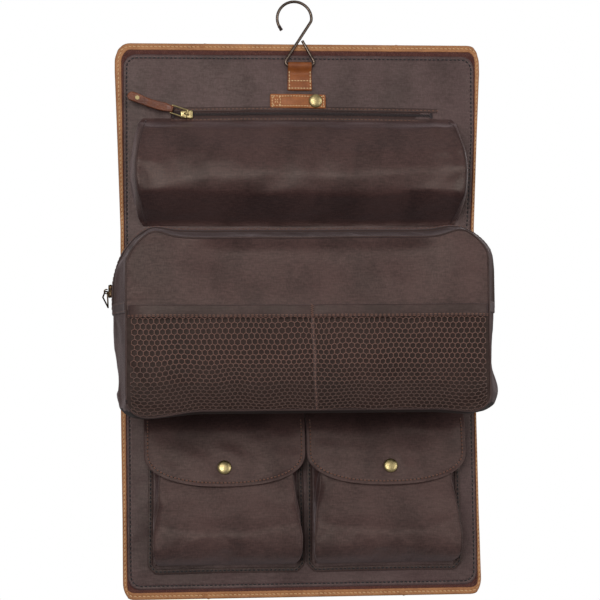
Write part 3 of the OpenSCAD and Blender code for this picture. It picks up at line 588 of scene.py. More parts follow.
def panel_layers():
    # leather: from the cut edge on the front, over the rim and across the back
    loop, nrm = rounded_loop(HALF_W, TOP_Z, BOTTOM_Z, CORNER_R, 2.4)
    rings = [(5.75, 0.9), (5.75, 0.05), (5.6, -0.28), (5.2, -0.42), (4.5, -0.46), (3.8, -0.36),
        (3.35, -0.16), (3.0, -0.06), (2.65, -0.16), (2.2, -0.42), (1.5, -0.48), (0.8, -0.25), (0.3, 0.3),
        (0.04, 1.2), (0.0, 2.0), (0.1, 2.9), (0.5, 3.6), (1.2, BACK_Y - 0.1), (2.2, BACK_Y),
        (2.8, BACK_Y - 0.25), (3.4, BACK_Y - 0.05), (5, BACK_Y)]
    v, f = plate(loop, nrm, rings[::-1], 7, back=True, front=False)
    n = len(loop)
    s = np.linspace(0, 1, n, endpoint=False)
    puff = 0.16 * wobble(s * 1480, s * 0, 16, 11)
    for k in range(len(rings)):
        at = slice((len(rings) - 1 - k) * n, (len(rings) - k) * n)
        if 1 < k < 12:
            v[at, 1] += puff
    back = v[:, 1] > BACK_Y - 0.5
    v[back, 1] += 0.25 * wobble(v[back, 0], v[back, 2], 60, 5)
    halves("outer_leather", settle_edge(v), f, TAN, "leather",
        (["upper_leather_shell", "middle_leather_shell"], ["lower_leather_shell"]))
    # cream stitches sunk along the turned edge, and along the back
    base, bn = rounded_loop(HALF_W, TOP_Z, BOTTOM_Z, CORNER_R, 1.2)
    for tag, inset, y, up in (("rim", 3.0, -0.2, -1), ("back", 2.8, BACK_Y - 0.1, 1)):
        p = base - bn * inset
        path = settle_edge(stack(p[:, 0], y, p[:, 1]))
        stitch_halves(f"{tag}_stitches", path, (0, up, 0), CREAM, pitch=3.47, size=(2.6, 0.95, 0.5), turn=0.2)
    # felt between the leather and the lining
    loop, nrm = rounded_loop(HALF_W - 1.6, TOP_Z - 1.6, BOTTOM_Z + 1.6, CORNER_R - 1.6, 0.8)
    rings = [(1.0, 2.2), (0, 1.6), (0.4, 1.2), (2.2, 0.95), (3.4, 0.75), (3.9, 0.35), (4.4, 0.15),
        (5.0, 0.05), (5.6, 0.1), (6.2, 0.35), (6.8, 0.9), (8.5, 1.2)]
    v, f = plate(loop, nrm, rings, 9, back=False)
    n = len(loop)
    r = np.random.default_rng(21)
    for k in range(4, 11):
        v[k * n:(k + 1) * n, 1] += r.normal(0, 0.16, n)
        v[k * n:(k + 1) * n, 0::2] += nrm * r.normal(0, 0.16, n)[:, None]
    felt = halves("felt", settle_edge(v), f, FELT, "felt", (["upper_felt", "middle_felt"], ["lower_felt"]))
    # loose fibres along the felt's edges
    loop, nrm = rounded_loop(HALF_W, TOP_Z, BOTTOM_Z, CORNER_R, 0.34)
    n = len(loop)
    p = loop - nrm * r.uniform(4.6, 7.6, n)[:, None]
    base = stack(p[:, 0], 0.25, p[:, 1])
    tip = base + r.normal(0, 1, (n, 3)) * (0.8, 0.22, 0.8) + (0, -0.6, 0)
    v = np.stack([end + size * np.array(c) for end, size in ((base, 0.17), (tip, 0.08))
            for c in ((1, 0, 0.4), (-1, 0, 0.4), (0, 0.2, -1))], axis=1).reshape(-1, 3)
    f = [[6 * k + i for i in q] for k in range(n)
        for q in ((0, 1, 4, 3), (1, 2, 5, 4), (2, 0, 3, 5), (3, 4, 5))]
    halves("felt_fibres", settle_edge(v), f, FIBRE, "felt")
    # sewn lining
    w, hi, lo = HALF_W - LINING_INSET, TOP_Z - LINING_INSET, BOTTOM_Z + LINING_INSET
    loop, nrm = rounded_loop(w, hi, lo, CORNER_R - LINING_INSET + 5, 0.9)
    rings = [(0.8, 1.0), (0.1, 0.85), (0.0, 0.55), (0.1, 0.2), (0.45, -0.08), (1.1, -0.2), (1.8, -0.16),
        (2.4, 0.02), (2.9, 0.16), (3.4, 0.04), (4.0, -0.1), (5.0, -0.05), (6.5, 0)]
    v, f = plate(loop, nrm, rings, 4.2, back=False)
    n = len(loop)
    length = np.concatenate([[0], np.cumsum(np.linalg.norm(np.diff(loop, axis=0), axis=1))])
    pucker = np.cos(2 * math.pi * length / 3.5)
    for k, share in ((5, 0.4), (6, 0.7), (7, 1), (8, 1.1), (9, 1), (10, 0.7), (11, 0.4)):
        v[k * n:(k + 1) * n, 1] += 0.09 * share * pucker
    inner = np.prod([np.clip((d - 3) / 12, 0, 1) for d in (w - np.abs(v[:, 0]), hi - v[:, 2], v[:, 2] - lo)],
        axis=0)
    v[:, 1] += relief(v[:, 0], v[:, 2]) * inner
    made = halves("lining", settle_edge(v), f, LINING, "lining",
        (["upper_lining", "middle_lining"], ["lower_lining"]))
    base, bn = rounded_loop(w, hi, lo, CORNER_R - LINING_INSET + 5, 0.9)
    p = base - bn * 2.9
    path = settle_edge(stack(p[:, 0], 0.02, p[:, 1]))
    stitch_halves("lining_stitches", path, OUT, DARK_THREAD, pitch=3.5, size=(2.5, 1.3, 0.65), slot="lining")


def stitch_halves(name, path, up, mat, slot="leather", **kw):
    """A closed row of stitches round the panel, in two pieces, above and below the cut."""
    for tag, pair, side in (("upper", UP, 1), ("lower", LOW, -1)):
        v, f = stitches(path, up, closed=True, keep=lambda p: side * (p[:, 2] - SPLIT_Z) > 0, **kw)
        fold_blend(make(f"{name}_{tag}", v, f, mat, slot), pair)


panel_layers()


# ---------------------------------------------------------------- hook, loop and keeper strap

WIRE_R, WIRE_DRAWN_R = 1.1, 1.2  # the CAD's wire, and the one drawn
HOOK_BEND_R, THROAT_R, CORNER_BEND_R = 13, 5.7, 2.9
SHANK_LEAN, ARM_LEAN, ARM_LENGTH, ARM_X = 33.1, 29.1, 18.6, 12.8


def arc_points(cx, cz, r, a0, a1, n):
    a = np.radians(np.linspace(a0, a1, n))
    return stack(cx + r * np.cos(a), 0 * a, cz + r * np.sin(a))


def straight(start, lean, length, n):
    """Points on from a start, along a line that leans from the vertical."""
    way = np.array([-math.sin(math.radians(lean)), 0, math.cos(math.radians(lean))])
    return start + np.linspace(0.05, 1, n)[:, None] * length * way


def hook_path():
    """The wire's centreline in the row frame, from the open tip round the bend to the short arm's end."""
    lo, hi = box_mm("hanging_hook")
    bend, lean = HOOK_BEND_R + WIRE_R, math.radians(SHANK_LEAN)
    tip = arc_points(0, hi[2] - WIRE_R - bend, bend, 212, 0, 60)
    neck = arc_points(bend - THROAT_R, hi[2] - WIRE_R - bend, THROAT_R, 0, -SHANK_LEAN, 9)[1:]
    end = neck[-1]
    r, base_z = CORNER_BEND_R, lo[2] + WIRE_R + CORNER_BEND_R
    run = (end[2] - r * math.sin(lean) - base_z) / math.cos(lean)
    shank = straight(end, -SHANK_LEAN, -run, 14)
    left = shank[-1][0] + r * math.cos(lean)
    foot = arc_points(left, base_z, r, 180 - SHANK_LEAN, 270, 12)[1:]
    bar = stack(np.linspace(left, ARM_X, 12)[1:], 0, base_z - r)
    heel = arc_points(ARM_X, base_z, r, -90, ARM_LEAN, 12)[1:]
    arm = straight(heel[-1], ARM_LEAN, ARM_LENGTH, 10)
    return np.concatenate([tip, neck, shank, foot, bar, heel, arm]), base_z - r


wire, bar_z = hook_path()
v, f = sweep(spaced(wire, 0.8), circle(WIRE_DRAWN_R, 16), (0, 1, 0))
riding("hook", "hook_wire", v, f, STEEL, "hook_steel", ["hanging_hook"], in_row=True)
tip_dir = wire[0] - wire[1]
tip_dir /= np.linalg.norm(tip_dir)
tip_ref = np.cross(tip_dir, (0, 1, 0))
cap = [(1.12, -1.6), (1.32, -1.5), (1.38, -0.6), (1.34, 0.9), (1.46, 1.9), (1.5, 2.3), (1.42, 2.55),
    (1.1, 2.7), (0.5, 2.74), (0, 2.76)]
v, f = revolve(cap, 20, wire[0], tip_dir, tip_ref)
riding("hook", "hook_tip_cap", v, f, RUBBER, "hook_cap", ["hook_tip"], in_row=True)

LOOP_X, LOOP_LOW = 1.5, box_mm("hook_loop")[0][2]
SLEEVE_Y = -ORIGIN[1]


def hook_loop():
    # side profile (y, z): front face from the bottom up, round the bar, down the back
    front = [(-2.1, LOOP_LOW), (-2.4, LOOP_LOW + 0.3), (-2.45, LOOP_LOW + 4), (-2.4, -66), (-2.2, -62),
        (-2.0, -59.5), (-2.05, -57.6), (-2.8, -56), (-4.3, -54.6)]
    a = np.radians(np.linspace(205, 8, 15))
    over = [(SLEEVE_Y + 2.85 * math.cos(t), bar_z + 2.85 * math.sin(t)) for t in a]
    back = [(-0.15, -54), (-0.02, -57), (0.0, LOOP_LOW + 0.3), (-0.3, LOOP_LOW)]
    prof = np.array(front + over + back)
    xs = np.array([-9.75, -9.7, -9.45, -9.0, -8.0, -6.0, -3.0, 0, 3.0, 6.0, 8.0, 9.0, 9.45, 9.7, 9.75])
    inset = np.interp(np.abs(xs), [8, 9, 9.45, 9.7, 9.75], [0, 0.06, 0.22, 0.5, 0.8])
    prof = spaced(prof, 0.9, closed=True)
    area = 0.5 * np.sum(prof[:, 0] * np.roll(prof[:, 1], -1) - np.roll(prof[:, 0], -1) * prof[:, 1])
    prof = prof if area > 0 else prof[::-1]
    nrm = loop_normals(prof)
    rows = []
    for x, e in zip(xs, inset):
        p = prof - nrm * e
        crease = hump((p[:, 1] + 58.6) / 1.5) * 0.35 * (1 - (x / 12) ** 2) * (p[:, 0] < -1)
        dent = 0.12 * wobble(np.full(len(p), x), p[:, 1], 6, 8) * (p[:, 0] < -1)
        # the plate spreads a little towards its sewn end
        wide = 1 + 0.035 * np.clip((-60 - p[:, 1]) / 12, 0, 1)
        rows.append(stack(LOOP_X + x * wide, p[:, 0] + crease + dent, p[:, 1]))
    riding("upper_section", "hook_loop_leather", np.concatenate(rows), tube_faces(len(rows), len(prof)),
        TAN_DARK, "leather", ["hook_loop"])
    low, w, y = LOOP_LOW + 1.7, 8.6, -2.5
    runs = [np.array([[s * w, y + 0.15 * (z < -60), z] for z in np.linspace(low, -57.5, 30)])
        for s in (-1, 1)]
    runs += [np.array([[x, y, z] for x in np.linspace(-w, w, 30)]) for z in (low, low + 6.2)]
    parts = [stitches(p + (LOOP_X, 0, 0), OUT, pitch=2.45, size=(1.8, 0.95, 0.6)) for p in runs]
    riding("upper_section", "hook_loop_stitches", *joined(*parts), TAB_THREAD, "leather")


hook_loop()

KEEPER_Z, KEEPER_H = -81.3, 11.5
KEEPER_FOLD = (box_mm("keeper_anchor")[1][0] + box_mm("keeper_strap")[0][0]) / 2 - ORIGIN[0]
KEEPER_L = box_mm("keeper_anchor")[0][0] - ORIGIN[0]
KEEPER_R = box_mm("keeper_strap")[1][0] - ORIGIN[0]
KEEPER_TILT = 0.018


def keeper_rise(x):
    """How far the strap's back stands off the lining along its length."""
    return 0.05 + 0.15 * smooth((x - KEEPER_FOLD + 2) / 3) + 1.6 * smooth((x - KEEPER_FOLD) / 11)


def keeper():
    mid, half = (KEEPER_L + KEEPER_R) / 2, (KEEPER_R - KEEPER_L) / 2
    loop, nrm = rounded_loop(half, KEEPER_H / 2, -KEEPER_H / 2, 1.3, 0.8)
    t = 1.8
    rings = [(1.2, 0), (0.35, -0.02), (0.05, -0.25), (0, -0.7), (0.02, -1.25), (0.2, -1.62), (0.6, -t),
        (1.0, -t + 0.02), (1.4, -t + 0.16), (1.75, -t + 0.2), (2.1, -t + 0.1), (2.8, -t - 0.02)]
    v, f = plate(loop, nrm, rings, 1.5)
    v[:, 0] += mid
    v[:, 1] -= keeper_rise(v[:, 0])
    v[:, 1] += 0.12 * wobble(v[:, 0], v[:, 2], 9, 14)
    v[:, 2] += KEEPER_Z - (v[:, 0] - mid) * KEEPER_TILT
    o = make("keeper_leather", v, f, TAN_MID, "leather")
    ends = [row((KEEPER_FOLD + s, 0, KEEPER_Z)) for s in (-1.5, 2.5)]
    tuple(ends[0])
    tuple(ends[1])
    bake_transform(o)
    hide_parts("keeper_anchor", "keeper_strap")
    # one row round the edge, and a crossed box on the sewn end
    b0, b1, h = -half + 2.0, -half + 8.4, KEEPER_H / 2 - 2.0
    k = np.linspace(0.1, 0.9, 12)
    runs = [(spaced(loop - nrm * 1.75, 0.4, True), True), (stack(b1, np.linspace(-h, h, 12)), False)]
    runs += [(stack(b0 + (b1 - b0) * k, s * h * (2 * k - 1)), False) for s in (1, -1)]
    parts = []
    for p, closed in runs:
        x = p[:, 0] + mid
        q = stack(x, -t + 0.02 - keeper_rise(x), KEEPER_Z + p[:, 1] - (x - mid) * KEEPER_TILT)
        parts.append(stitches(q, OUT, pitch=2.3, size=(1.6, 0.85, 0.6), closed=closed))
    o = make("keeper_stitches", *joined(*parts), TAB_THREAD, "leather")
    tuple(ends[0])
    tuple(ends[1])
    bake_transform(o)


keeper()


def snap_cap(name, body, node, axis, ref):
    """A turned brass cap in place of the CAD's, at its centre and facing along axis."""
    axis = np.array(axis, float)
    axis /= np.linalg.norm(axis)
    verts = np.array([v.co for v in frame["nodes"][node].data.vertices]) / MM
    along = verts @ axis
    top = along.max()
    rim = verts[np.linalg.norm(np.cross(verts - verts.mean(0), axis), axis=1) > 5.4]
    centre = rim.mean(0)
    base = centre + axis * ((rim @ axis).min() - centre @ axis)
    h = top - (rim @ axis).min()
    prof = [(1.4, -1.6), (1.5, -0.1), (4.6, -0.12), (5.3, -0.1), (5.56, 0.08), (5.66, 0.3), (5.62, h * 0.26),
        (5.42, h * 0.42), (5.0, h * 0.58), (4.4, h * 0.72), (3.6, h * 0.84), (2.7, h * 0.92),
        (1.8, h * 0.97), (0.9, h * 0.995), (0.3, h), (0, h)]
    riding(body, name, *revolve(prof, 48, base, axis, ref), BRASS, "brass", [node], in_row=True)


def paint(node, mat):
    """Gives a CAD node another material."""
    mats = frame["nodes"][node].data.materials
    mats.clear()
    mats.append(mat)


snap_cap("keeper_snap_dome", "keeper", "keeper_snap_cap", OUT, (1, 0, 0))
FLAP_RISE, FLAP_RUN = 18.5, 91  # how far the flaps slope out, over what height
tilt = math.atan2(FLAP_RISE, FLAP_RUN)
for side in ("left", "right"):
    snap_cap(f"{side}_snap_dome", f"{side}_flap", f"{side}_snap_cap", (0, -math.cos(tilt), math.sin(tilt)),
        (1, 0, 0))
for node in ("keeper_snap_socket", "keeper_snap_stud", "left_snap_socket", "right_snap_socket",
        "pocket_snap_studs", "upper_zip_stops", "upper_zip_link", "puller_rivet", "upper_zip_slider",
        "side_zip_slider", "side_zip_pull"):
    paint(node, BRASS)
    frame["nodes"][node].data.shade_smooth()


# ---------------------------------------------------------------- cloth

CLOTH_SCALE = 3.0  # the simulation runs on a larger model, where its stiffness behaves better


def billow(v, f, pinned, pressure=3.0, frames=16, shrink=(-0.02, -0.02), loose=None, cap=6.0, bend=0.6,
        mass=0.12):
    """Blender's cloth on points in the panel's frame, filled with pressure. shrink is the spare length of the
    plain cloth and of the loose stretches (weights in loose). No point moves more than cap millimetres."""
    v = np.asarray(v, float)
    me = bpy.data.meshes.new("billow")
    me.from_pydata((row(v) * CLOTH_SCALE).tolist(), [], [[int(i) for i in q] for q in f])
    o = add("billow", me)
    pin = o.vertex_groups.new(name="pin")
    pin.add([int(i) for i in np.where(pinned)[0]], 1.0, "REPLACE")
    mod = o.modifiers.new("Cloth", "CLOTH")
    st = mod.settings
    st.quality, st.mass, st.air_damping = 5, mass, 2.0
    st.tension_stiffness = st.compression_stiffness = 12
    st.shear_stiffness, st.bending_stiffness = 6, bend
    st.vertex_group_mass, st.pin_stiffness = "pin", 1.0
    st.use_pressure, st.uniform_pressure_force = True, pressure
    st.shrink_min, st.shrink_max = shrink
    if loose is not None:
        g = o.vertex_groups.new(name="loose")
        for i, w in enumerate(loose):
            if w > 0:
                g.add([i], float(w), "REPLACE")
        st.vertex_group_shrink = "loose"
    st.effector_weights.gravity = 0
    mod.collision_settings.use_collision = False
    mod.point_cache.frame_start, mod.point_cache.frame_end = 1, frames
    scene = bpy.context.scene
    for k in range(1, frames + 1):
        scene.frame_set(k)
    e = o.evaluated_get(bpy.context.evaluated_depsgraph_get())
    out = np.array([p.co for p in e.data.vertices]) / CLOTH_SCALE / MM - ORIGIN
    bpy.data.objects.remove(o)
    bpy.data.meshes.remove(me)
    scene.frame_set(1)
    move = out - v
    size = np.linalg.norm(move, axis=1, keepdims=True)
    return v + move * np.where(size > 1e-6, cap * np.tanh(size / cap) / np.maximum(size, 1e-6), 1)


SEAM_R = 0.6  # the corded seams down the pockets' edges


def soften(o, levels=1):
    m = o.modifiers.new("Subdivision", "SUBSURF")
    m.levels = m.render_levels = levels
    return o


def surface(o):
    """A tree of a piece's shown surface, for laying seams and stitches on it."""
    e = o.evaluated_get(bpy.context.evaluated_depsgraph_get())
    m = e.to_mesh()
    pts = np.zeros(len(m.vertices) * 3, np.float32)
    m.vertices.foreach_get("co", pts)
    pts = pts.reshape(-1, 3) / MM - ORIGIN
    tree = BVHTree.FromPolygons([Vector(p) for p in pts], [tuple(p.vertices) for p in m.polygons])
    e.to_mesh_clear()
    return tree


def laid(tree, pts, way, lift=0.0, reach=60.0):
    """Points dropped along way onto a surface, with the surface's normals facing back along way."""
    way = np.asarray(way, float)
    way = np.broadcast_to(way / np.linalg.norm(way, axis=-1, keepdims=True), np.shape(pts))
    out, nrm = [], []
    for p, d in zip(np.asarray(pts, float), way):
        hit, n, _, _ = tree.ray_cast(Vector(p - d * reach), Vector(d), reach * 2)
        if hit is None:
            hit, n, _, _ = tree.find_nearest(Vector(p))
        n = np.array(n)
        n = n if n @ d < 0 else -n
        nrm.append(n)
        out.append(np.array(hit) + n * lift)
    return np.array(out), np.array(nrm)


def snug(tree, pts):
    """The nearest points of a surface."""
    return np.array([tree.find_nearest(Vector(p))[0] for p in pts])


def ribbon(path, nrm, width, thick, lift=0.0):
    """A strip of cloth along a path on a surface, with rounded edges and a back."""
    _, side, top = frames_along(path, nrm)
    s = np.array([-1, -0.96, -0.8, 0, 0.8, 0.96, 1.0, 0.9, 0, -0.9])
    h = np.array([0.35, 0.8, 1, 1.03, 1, 0.8, 0.35, 0, 0, 0])
    v = path[:, None] + side[:, None] * s[None, :, None] * width / 2 + top[:,
        None] * (h[None, :, None] * thick + lift)
    return v.reshape(-1, 3), tube_faces(len(path), len(s), flip=True)


# ---------------------------------------------------------------- upper zip

ZIP_LO, ZIP_HI = (c - ORIGIN for c in box_mm("upper_zip_coil"))
ZIP_Z, ZIP_L, ZIP_R = (ZIP_LO[2] + ZIP_HI[2]) / 2, ZIP_LO[0], ZIP_HI[0]
joint = {j["name"]: j for j in frame["joints"]}


def joint_mm(name):
    """A hinge's point in the panel's frame."""
    return np.array(joint[name]["pos_m"], float) / MM - ORIGIN


def zip_arch(x):
    """The zip's line rises a little in the middle, between its two sewn ends."""
    return 1.3 * np.sin(math.pi * np.clip((np.asarray(x, float) - ZIP_L) / (ZIP_R - ZIP_L), 0, 1))


def teeth(path, nrm, pitch=1.25, reach=1.5, r=0.34):
    """Two rows of coil loops that mesh in the middle of the zip."""
    p = spaced(path, pitch / 2)
    t, side, top = frames_along(p, np.asarray(nrm)[nearest(path, p)])
    ring = circle(1, 6)
    at, rad = (-0.35, -0.2, 0.55, 0.9, 1.0), (0.5, 1.0, 1.0, 0.85, 0.2)
    v, f = [], []
    for k in range(len(p)):
        s = 1 if k % 2 else -1
        rows = [p[k] + side[k] * s * reach * a + top[k] * (0.15 - 0.45 * max(0, a - 0.5))
            + (t[k] * q[0] + top[k] * q[1]) * r * b for a, b in zip(at, rad) for q in ring]
        f += [[i + len(v) * 30 for i in q] for q in PILL]
        v.append(rows)
    return np.array(v).reshape(-1, 3), f


def slider_shape(origin, along, out, lug):
    """A zip slider: a shouldered cap over the coil, its side walls, and a loop for the pull. along is the way
    the zip runs, out is its front and lug the way the loop faces."""
    along, out, lug = (np.array(a, float) / np.linalg.norm(a) for a in (along, out, lug))
    across = np.cross(out, along)
    half = np.array([(-5, 2.3), (-4.6, 2.9), (-3.0, 3.1), (-0.5, 3.0), (1.0, 3.2), (2.6, 3.6), (4.2, 3.5),
            (4.9, 2.9), (5.1, 2.0)])
    loop = spaced(np.concatenate([half, half[::-1] * (1, -1)]), 0.7, closed=True)[::-1]
    nrm = loop_normals(loop)
    if ((loop + nrm * 0.1) ** 2).sum() < (loop ** 2).sum():
        loop = loop[::-1]
        nrm = loop_normals(loop)
    v, f = plate(loop, nrm, [(0.9, 0.0), (0.1, 0.0), (0, 0.25), (0.05, 0.8), (0.35, 1.15), (0.9, 1.25),
            (1.6, 1.32)], 1.4)
    cap = v[:, [0]] * along + v[:, [2]] * across + (v[:, [1]] + 0.3) * out
    parts = [(cap, f)]
    for s in (-1, 1):
        wall = stack(half[1:8, 0], s * (half[1:8, 1] - 0.45))
        path = wall[:, :1] * along + wall[:, 1:] * across - 0.35 * out
        parts.append(sweep(path, circle(0.62, 8, 1.5), out))
    a = np.radians(np.linspace(-40, 220, 22))
    path = 1.65 * np.cos(a)[:, None] * lug + (3.2 + 1.6 * np.sin(a))[:, None] * out
    parts.append(sweep(path, circle(0.5, 10, 1.5), np.cross(lug, out)))
    v, f = joined(*parts)
    return v + origin, f


def upper_zip():
    xs = np.linspace(ZIP_L - 3, ZIP_R + 3, 130)
    path = stack(xs, -0.05, ZIP_Z + zip_arch(xs))
    v, f = ribbon(path, OUT, 8.6, 0.75)
    tape = riding("upper_section", "upper_zip_tape_cloth", v, f, TAPE, "zip_tape", ["upper_zip_tape"])
    path = stack(xs[2:-2], -1.1, ZIP_Z + zip_arch(xs[2:-2]))
    v, f = teeth(path, np.tile((0, -1.0, 0), (126, 1)))
    riding("upper_section", "upper_zip_teeth", v, f, COIL, "zip_coil", ["upper_zip_coil"])
    # folded lips of cloth above and below the coil, each with its stitches
    parts, rows = [], []
    xs = np.linspace(ZIP_L - 2, ZIP_R + 6, 110)
    for s, gap, width in ((1, 2.3, 3.6), (-1, 2.7, 3.2)):
        z = ZIP_Z + zip_arch(xs) + s * (gap + width / 2) + 0.12 * wobble(xs, 0 * xs, 30, 31 + s)
        path = stack(xs, -0.7, z)
        parts.append(ribbon(path, OUT, width, 0.75))
        rows.append(stitches(path + (0, -0.72, s * 0.1), OUT, pitch=3.3, size=(2.2, 0.7, 0.45)))
    riding("upper_section", "upper_zip_lips", *joined(*parts), NYLON_FLAT, "pocket_cloth")
    riding("upper_section", "upper_zip_stitches", *joined(*rows), BROWN_THREAD, "pocket_cloth")
    paint("upper_zip_stops", COIL)
    # slider and its pull
    lift, far = joint_mm("upper_link_lift"), joint_mm("upper_puller_lift")
    u = (far - lift) / np.linalg.norm(far - lift)
    w = np.array(joint["upper_puller_lift"]["axis"], float)
    w /= np.linalg.norm(w)
    n = np.cross(u, w)
    n = n if n[1] < 0 else -n
    face = lift + (0, 3.2, 0)
    riding("upper_slider", "upper_slider_body", *slider_shape(face, (1, 0, 0), OUT, (u[0], 0, u[2])), BRASS,
        "brass", ["upper_zip_slider"])
    s = np.array([-1.3, -0.9, 0, 1.5, 3, 4.5, 7, 12, 18, 24, 29, 31.5])
    hw = np.array([2.5, 2.7, 2.75, 2.75, 2.95, 3.35, 3.55, 3.4, 3.3, 3.45, 3.65, 3.7])
    a = np.radians(np.linspace(80, 0, 9))
    tip_s, tip_w = 33.3 + 3.7 * np.cos(a)[1:], 3.7 * np.sin(a)[1:]
    upper = np.concatenate([stack(s, hw), stack(tip_s, tip_w)])
    loop = spaced(np.concatenate([upper, upper[::-1][1:] * (1, -1)]), 0.8, closed=True)[::-1]
    nrm = loop_normals(loop)
    v, f = plate(loop, nrm, [(1.4, 1.2), (0.5, 1.2), (0.1, 0.95), (0, 0.45), (0.06, 0.08), (0.0, 0),
            (0.06, -0.08), (0, -0.5), (0.12, -0.95), (0.5, -1.2), (0.9, -1.3), (1.8, -1.2)], 1.3)
    thick = np.interp(v[:, 0], [-1.3, 1.0, 4, 8], [1.35, 1.5, 1.15, 1.0])
    curl = 0.5 * smooth((v[:, 0] - 10) / 27) + 0.15 * wobble(v[:, 0], v[:, 2], 9, 17)
    sag = 0.8 * np.sin(math.pi * np.clip(v[:, [0]] / 34, 0, 1)) ** 2 * np.sign(-w[2])
    at = far + v[:, [0]] * u + (v[:, [2]] + sag) * w - v[:, [1]] * thick[:, None] * n + curl[:,
        None] * 0.4 * n
    riding("upper_puller", "upper_puller_leather", at, f, TAN_PULL, "leather", ["upper_zip_puller"])


TAN_PULL = leather("tan_leather_pull", rgb(150, 84, 48), rgb(84, 42, 26), 0.26)
upper_zip()


# ---------------------------------------------------------------- upper pocket

PK_LO, PK_HI = (c - ORIGIN for c in box_mm("upper_pocket"))
# the upper pocket's creases: (x, z) of both ends, width and height
POCKET_CREASES = ((106, -97, 135, -127, 4.5, 2.6), (-118, -96, -132, -118, 4, 1.8),
    (129, -148, 133, -182, 3.5, 2.2), (112, -99, 128, -150, 6, 1.4), (-131, -140, -124, -180, 4, 1.8),
    (-134, -128, -112, -142, 5, 1.3))


def upper_pocket():
    """The stuffed zip pocket: a round front between two soft gussets."""
    low, high, depth, half = PK_LO[2], PK_HI[2] + 1.4, -PK_LO[1], PK_HI[0]
    mid, h = (low + high) / 2, (high - low) / 2
    r = (h * h + depth * depth) / (2 * depth)
    top = math.asin(min(1, h / r)) if depth < r else math.pi / 2
    rows, gusset, front = 34, 9, 72
    ang = np.linspace(-1, 1, rows + 1) * top
    z = mid - r * np.sin(ang)
    fine = np.linspace(-high - 12, -low + 12, 400)
    plump = np.interp(fine, [-high, -high + 6, -high + 16, -high + 30, -high + 40, -high + 61, -high + 69,
            -low - 9, -low], [0.9, 16, 24.5, 33, 37.2, 38.9, 35, 15, 0.9])
    kernel = hump(np.linspace(-12, 12, len(fine[fine < -high + 12])) / 4.0)
    plump = np.interp(-z, fine, np.convolve(plump, kernel / kernel.sum(), "same"))
    d = 0.35 * np.maximum(r * np.cos(ang) - (r - depth), 0.9) + 0.65 * plump
    d = np.where((np.arange(rows + 1) == 0) | (np.arange(rows + 1) == rows), 0.9, np.minimum(d, depth + 0.5))
    side_r = (h * h + 49) / 14
    w = half - side_r + np.sqrt(np.maximum(side_r ** 2 - (z - mid) ** 2, 0)) + 4.5 * np.sin(math.pi
        * np.clip((high - z) / (2 * h), 0, 1)) ** 0.7
    v, uv, loose, pinned = [], [], [], []
    arc = r * (ang + top)
    for k in range(rows + 1):
        t = np.linspace(0, 1, gusset + 1)[:-1]
        bow = 2.0 * (1 - t) ** 2 + 4.0 * t ** 3
        left = stack(-(w[k] - bow), -d[k] * t, z[k])
        x = np.linspace(-(w[k] - 4.0), w[k] - 4.0, front + 1)
        mid_row = stack(x, np.full(front + 1, -d[k]), np.full(front + 1, z[k]))
        right = left[::-1] * (-1, 1, 1)
        line = np.concatenate([left, mid_row, right])
        v.append(line)
        u = np.concatenate([x[0] - d[k] * (1 - t), x, x[-1] + d[k] * (1 - t[::-1])])
        uv.append(stack(u, arc[k]))
        j = np.arange(len(line))
        # slack along the two front seams and next to the sewn rows
        ends = hump(np.minimum(np.abs(j - gusset), np.abs(j - gusset - front)) / 4.0)
        loose.append(np.clip(0.25 * (np.minimum(k, rows - k) < 5) + ends, 0, 1))
        pinned.append((j == 0) | (j == len(line) - 1) | (k in (0, rows)))
    n = len(v[0])
    v, uv = np.concatenate(v), np.concatenate(uv)
    pinned, loose = np.concatenate(pinned), np.concatenate(loose)
    v[:, 1] += np.where(pinned, 0, 0.5 * wobble(v[:, 0], v[:, 2], 30, 41))
    f = grid_faces(rows + 1, n)
    v = billow(v, f, pinned, pressure=1.6, shrink=(0.0, -0.05), loose=loose, cap=3.6)
    # broad dents that catch the light, and creases that run in from the corners
    x, zz = v[:, 0], v[:, 2]
    face = np.clip(-v[:, 1] / 20, 0, 1)
    drift = 2.2 * wobble(x, 0 * x, 90, 44)
    dents = 0.35 * wobble(x, zz * 1.6, 60, 43)
    for at, slope, wide, deep in ((116, 0.02, 7, 1.2), (125, 0.02, 5, -0.8), (147, -0.03, 6, -1.0),
            (160, 0, 10, 1.2)):
        dents = dents + deep * hump((zz + at + drift + slope * x) / wide)
    v[:, 1] += face * dents
    for ax, az, bx, bz, wide, tall in POCKET_CREASES:
        t = np.clip(((x - ax) * (bx - ax) + (zz - az) * (bz - az)) / ((bx - ax) ** 2 + (bz - az) ** 2), 0, 1)
        away = np.hypot(x - ax - t * (bx - ax), zz - az - t * (bz - az))
        tall = tall * np.sin(math.pi * np.clip(t, 0.04, 0.96)) ** 0.6
        v[:, 1] -= np.clip(face * 2, 0, 1) * tall * np.exp(-np.abs(away / wide) ** 1.5)
    o = riding("upper_section", "upper_pocket_cloth", v, f, SATIN, "pocket_cloth", ["upper_pocket"], uv=uv)
    soften(o)
    tree = surface(o)
    # seams where the front meets the gussets
    parts = []
    for s in (gusset, gusset + front):
        line = v.reshape(rows + 1, n, 3)[1:-1, s]
        side = -1 if s == gusset else 1
        parts.append(sweep(spaced(snug(tree, line), 1.0), circle(SEAM_R, 8), (side, -1, 0)))
    seams = riding("upper_section", "upper_pocket_seams", *joined(*parts), NYLON_FLAT, "pocket_cloth")


upper_pocket()


# ---------------------------------------------------------------- zipped compartment

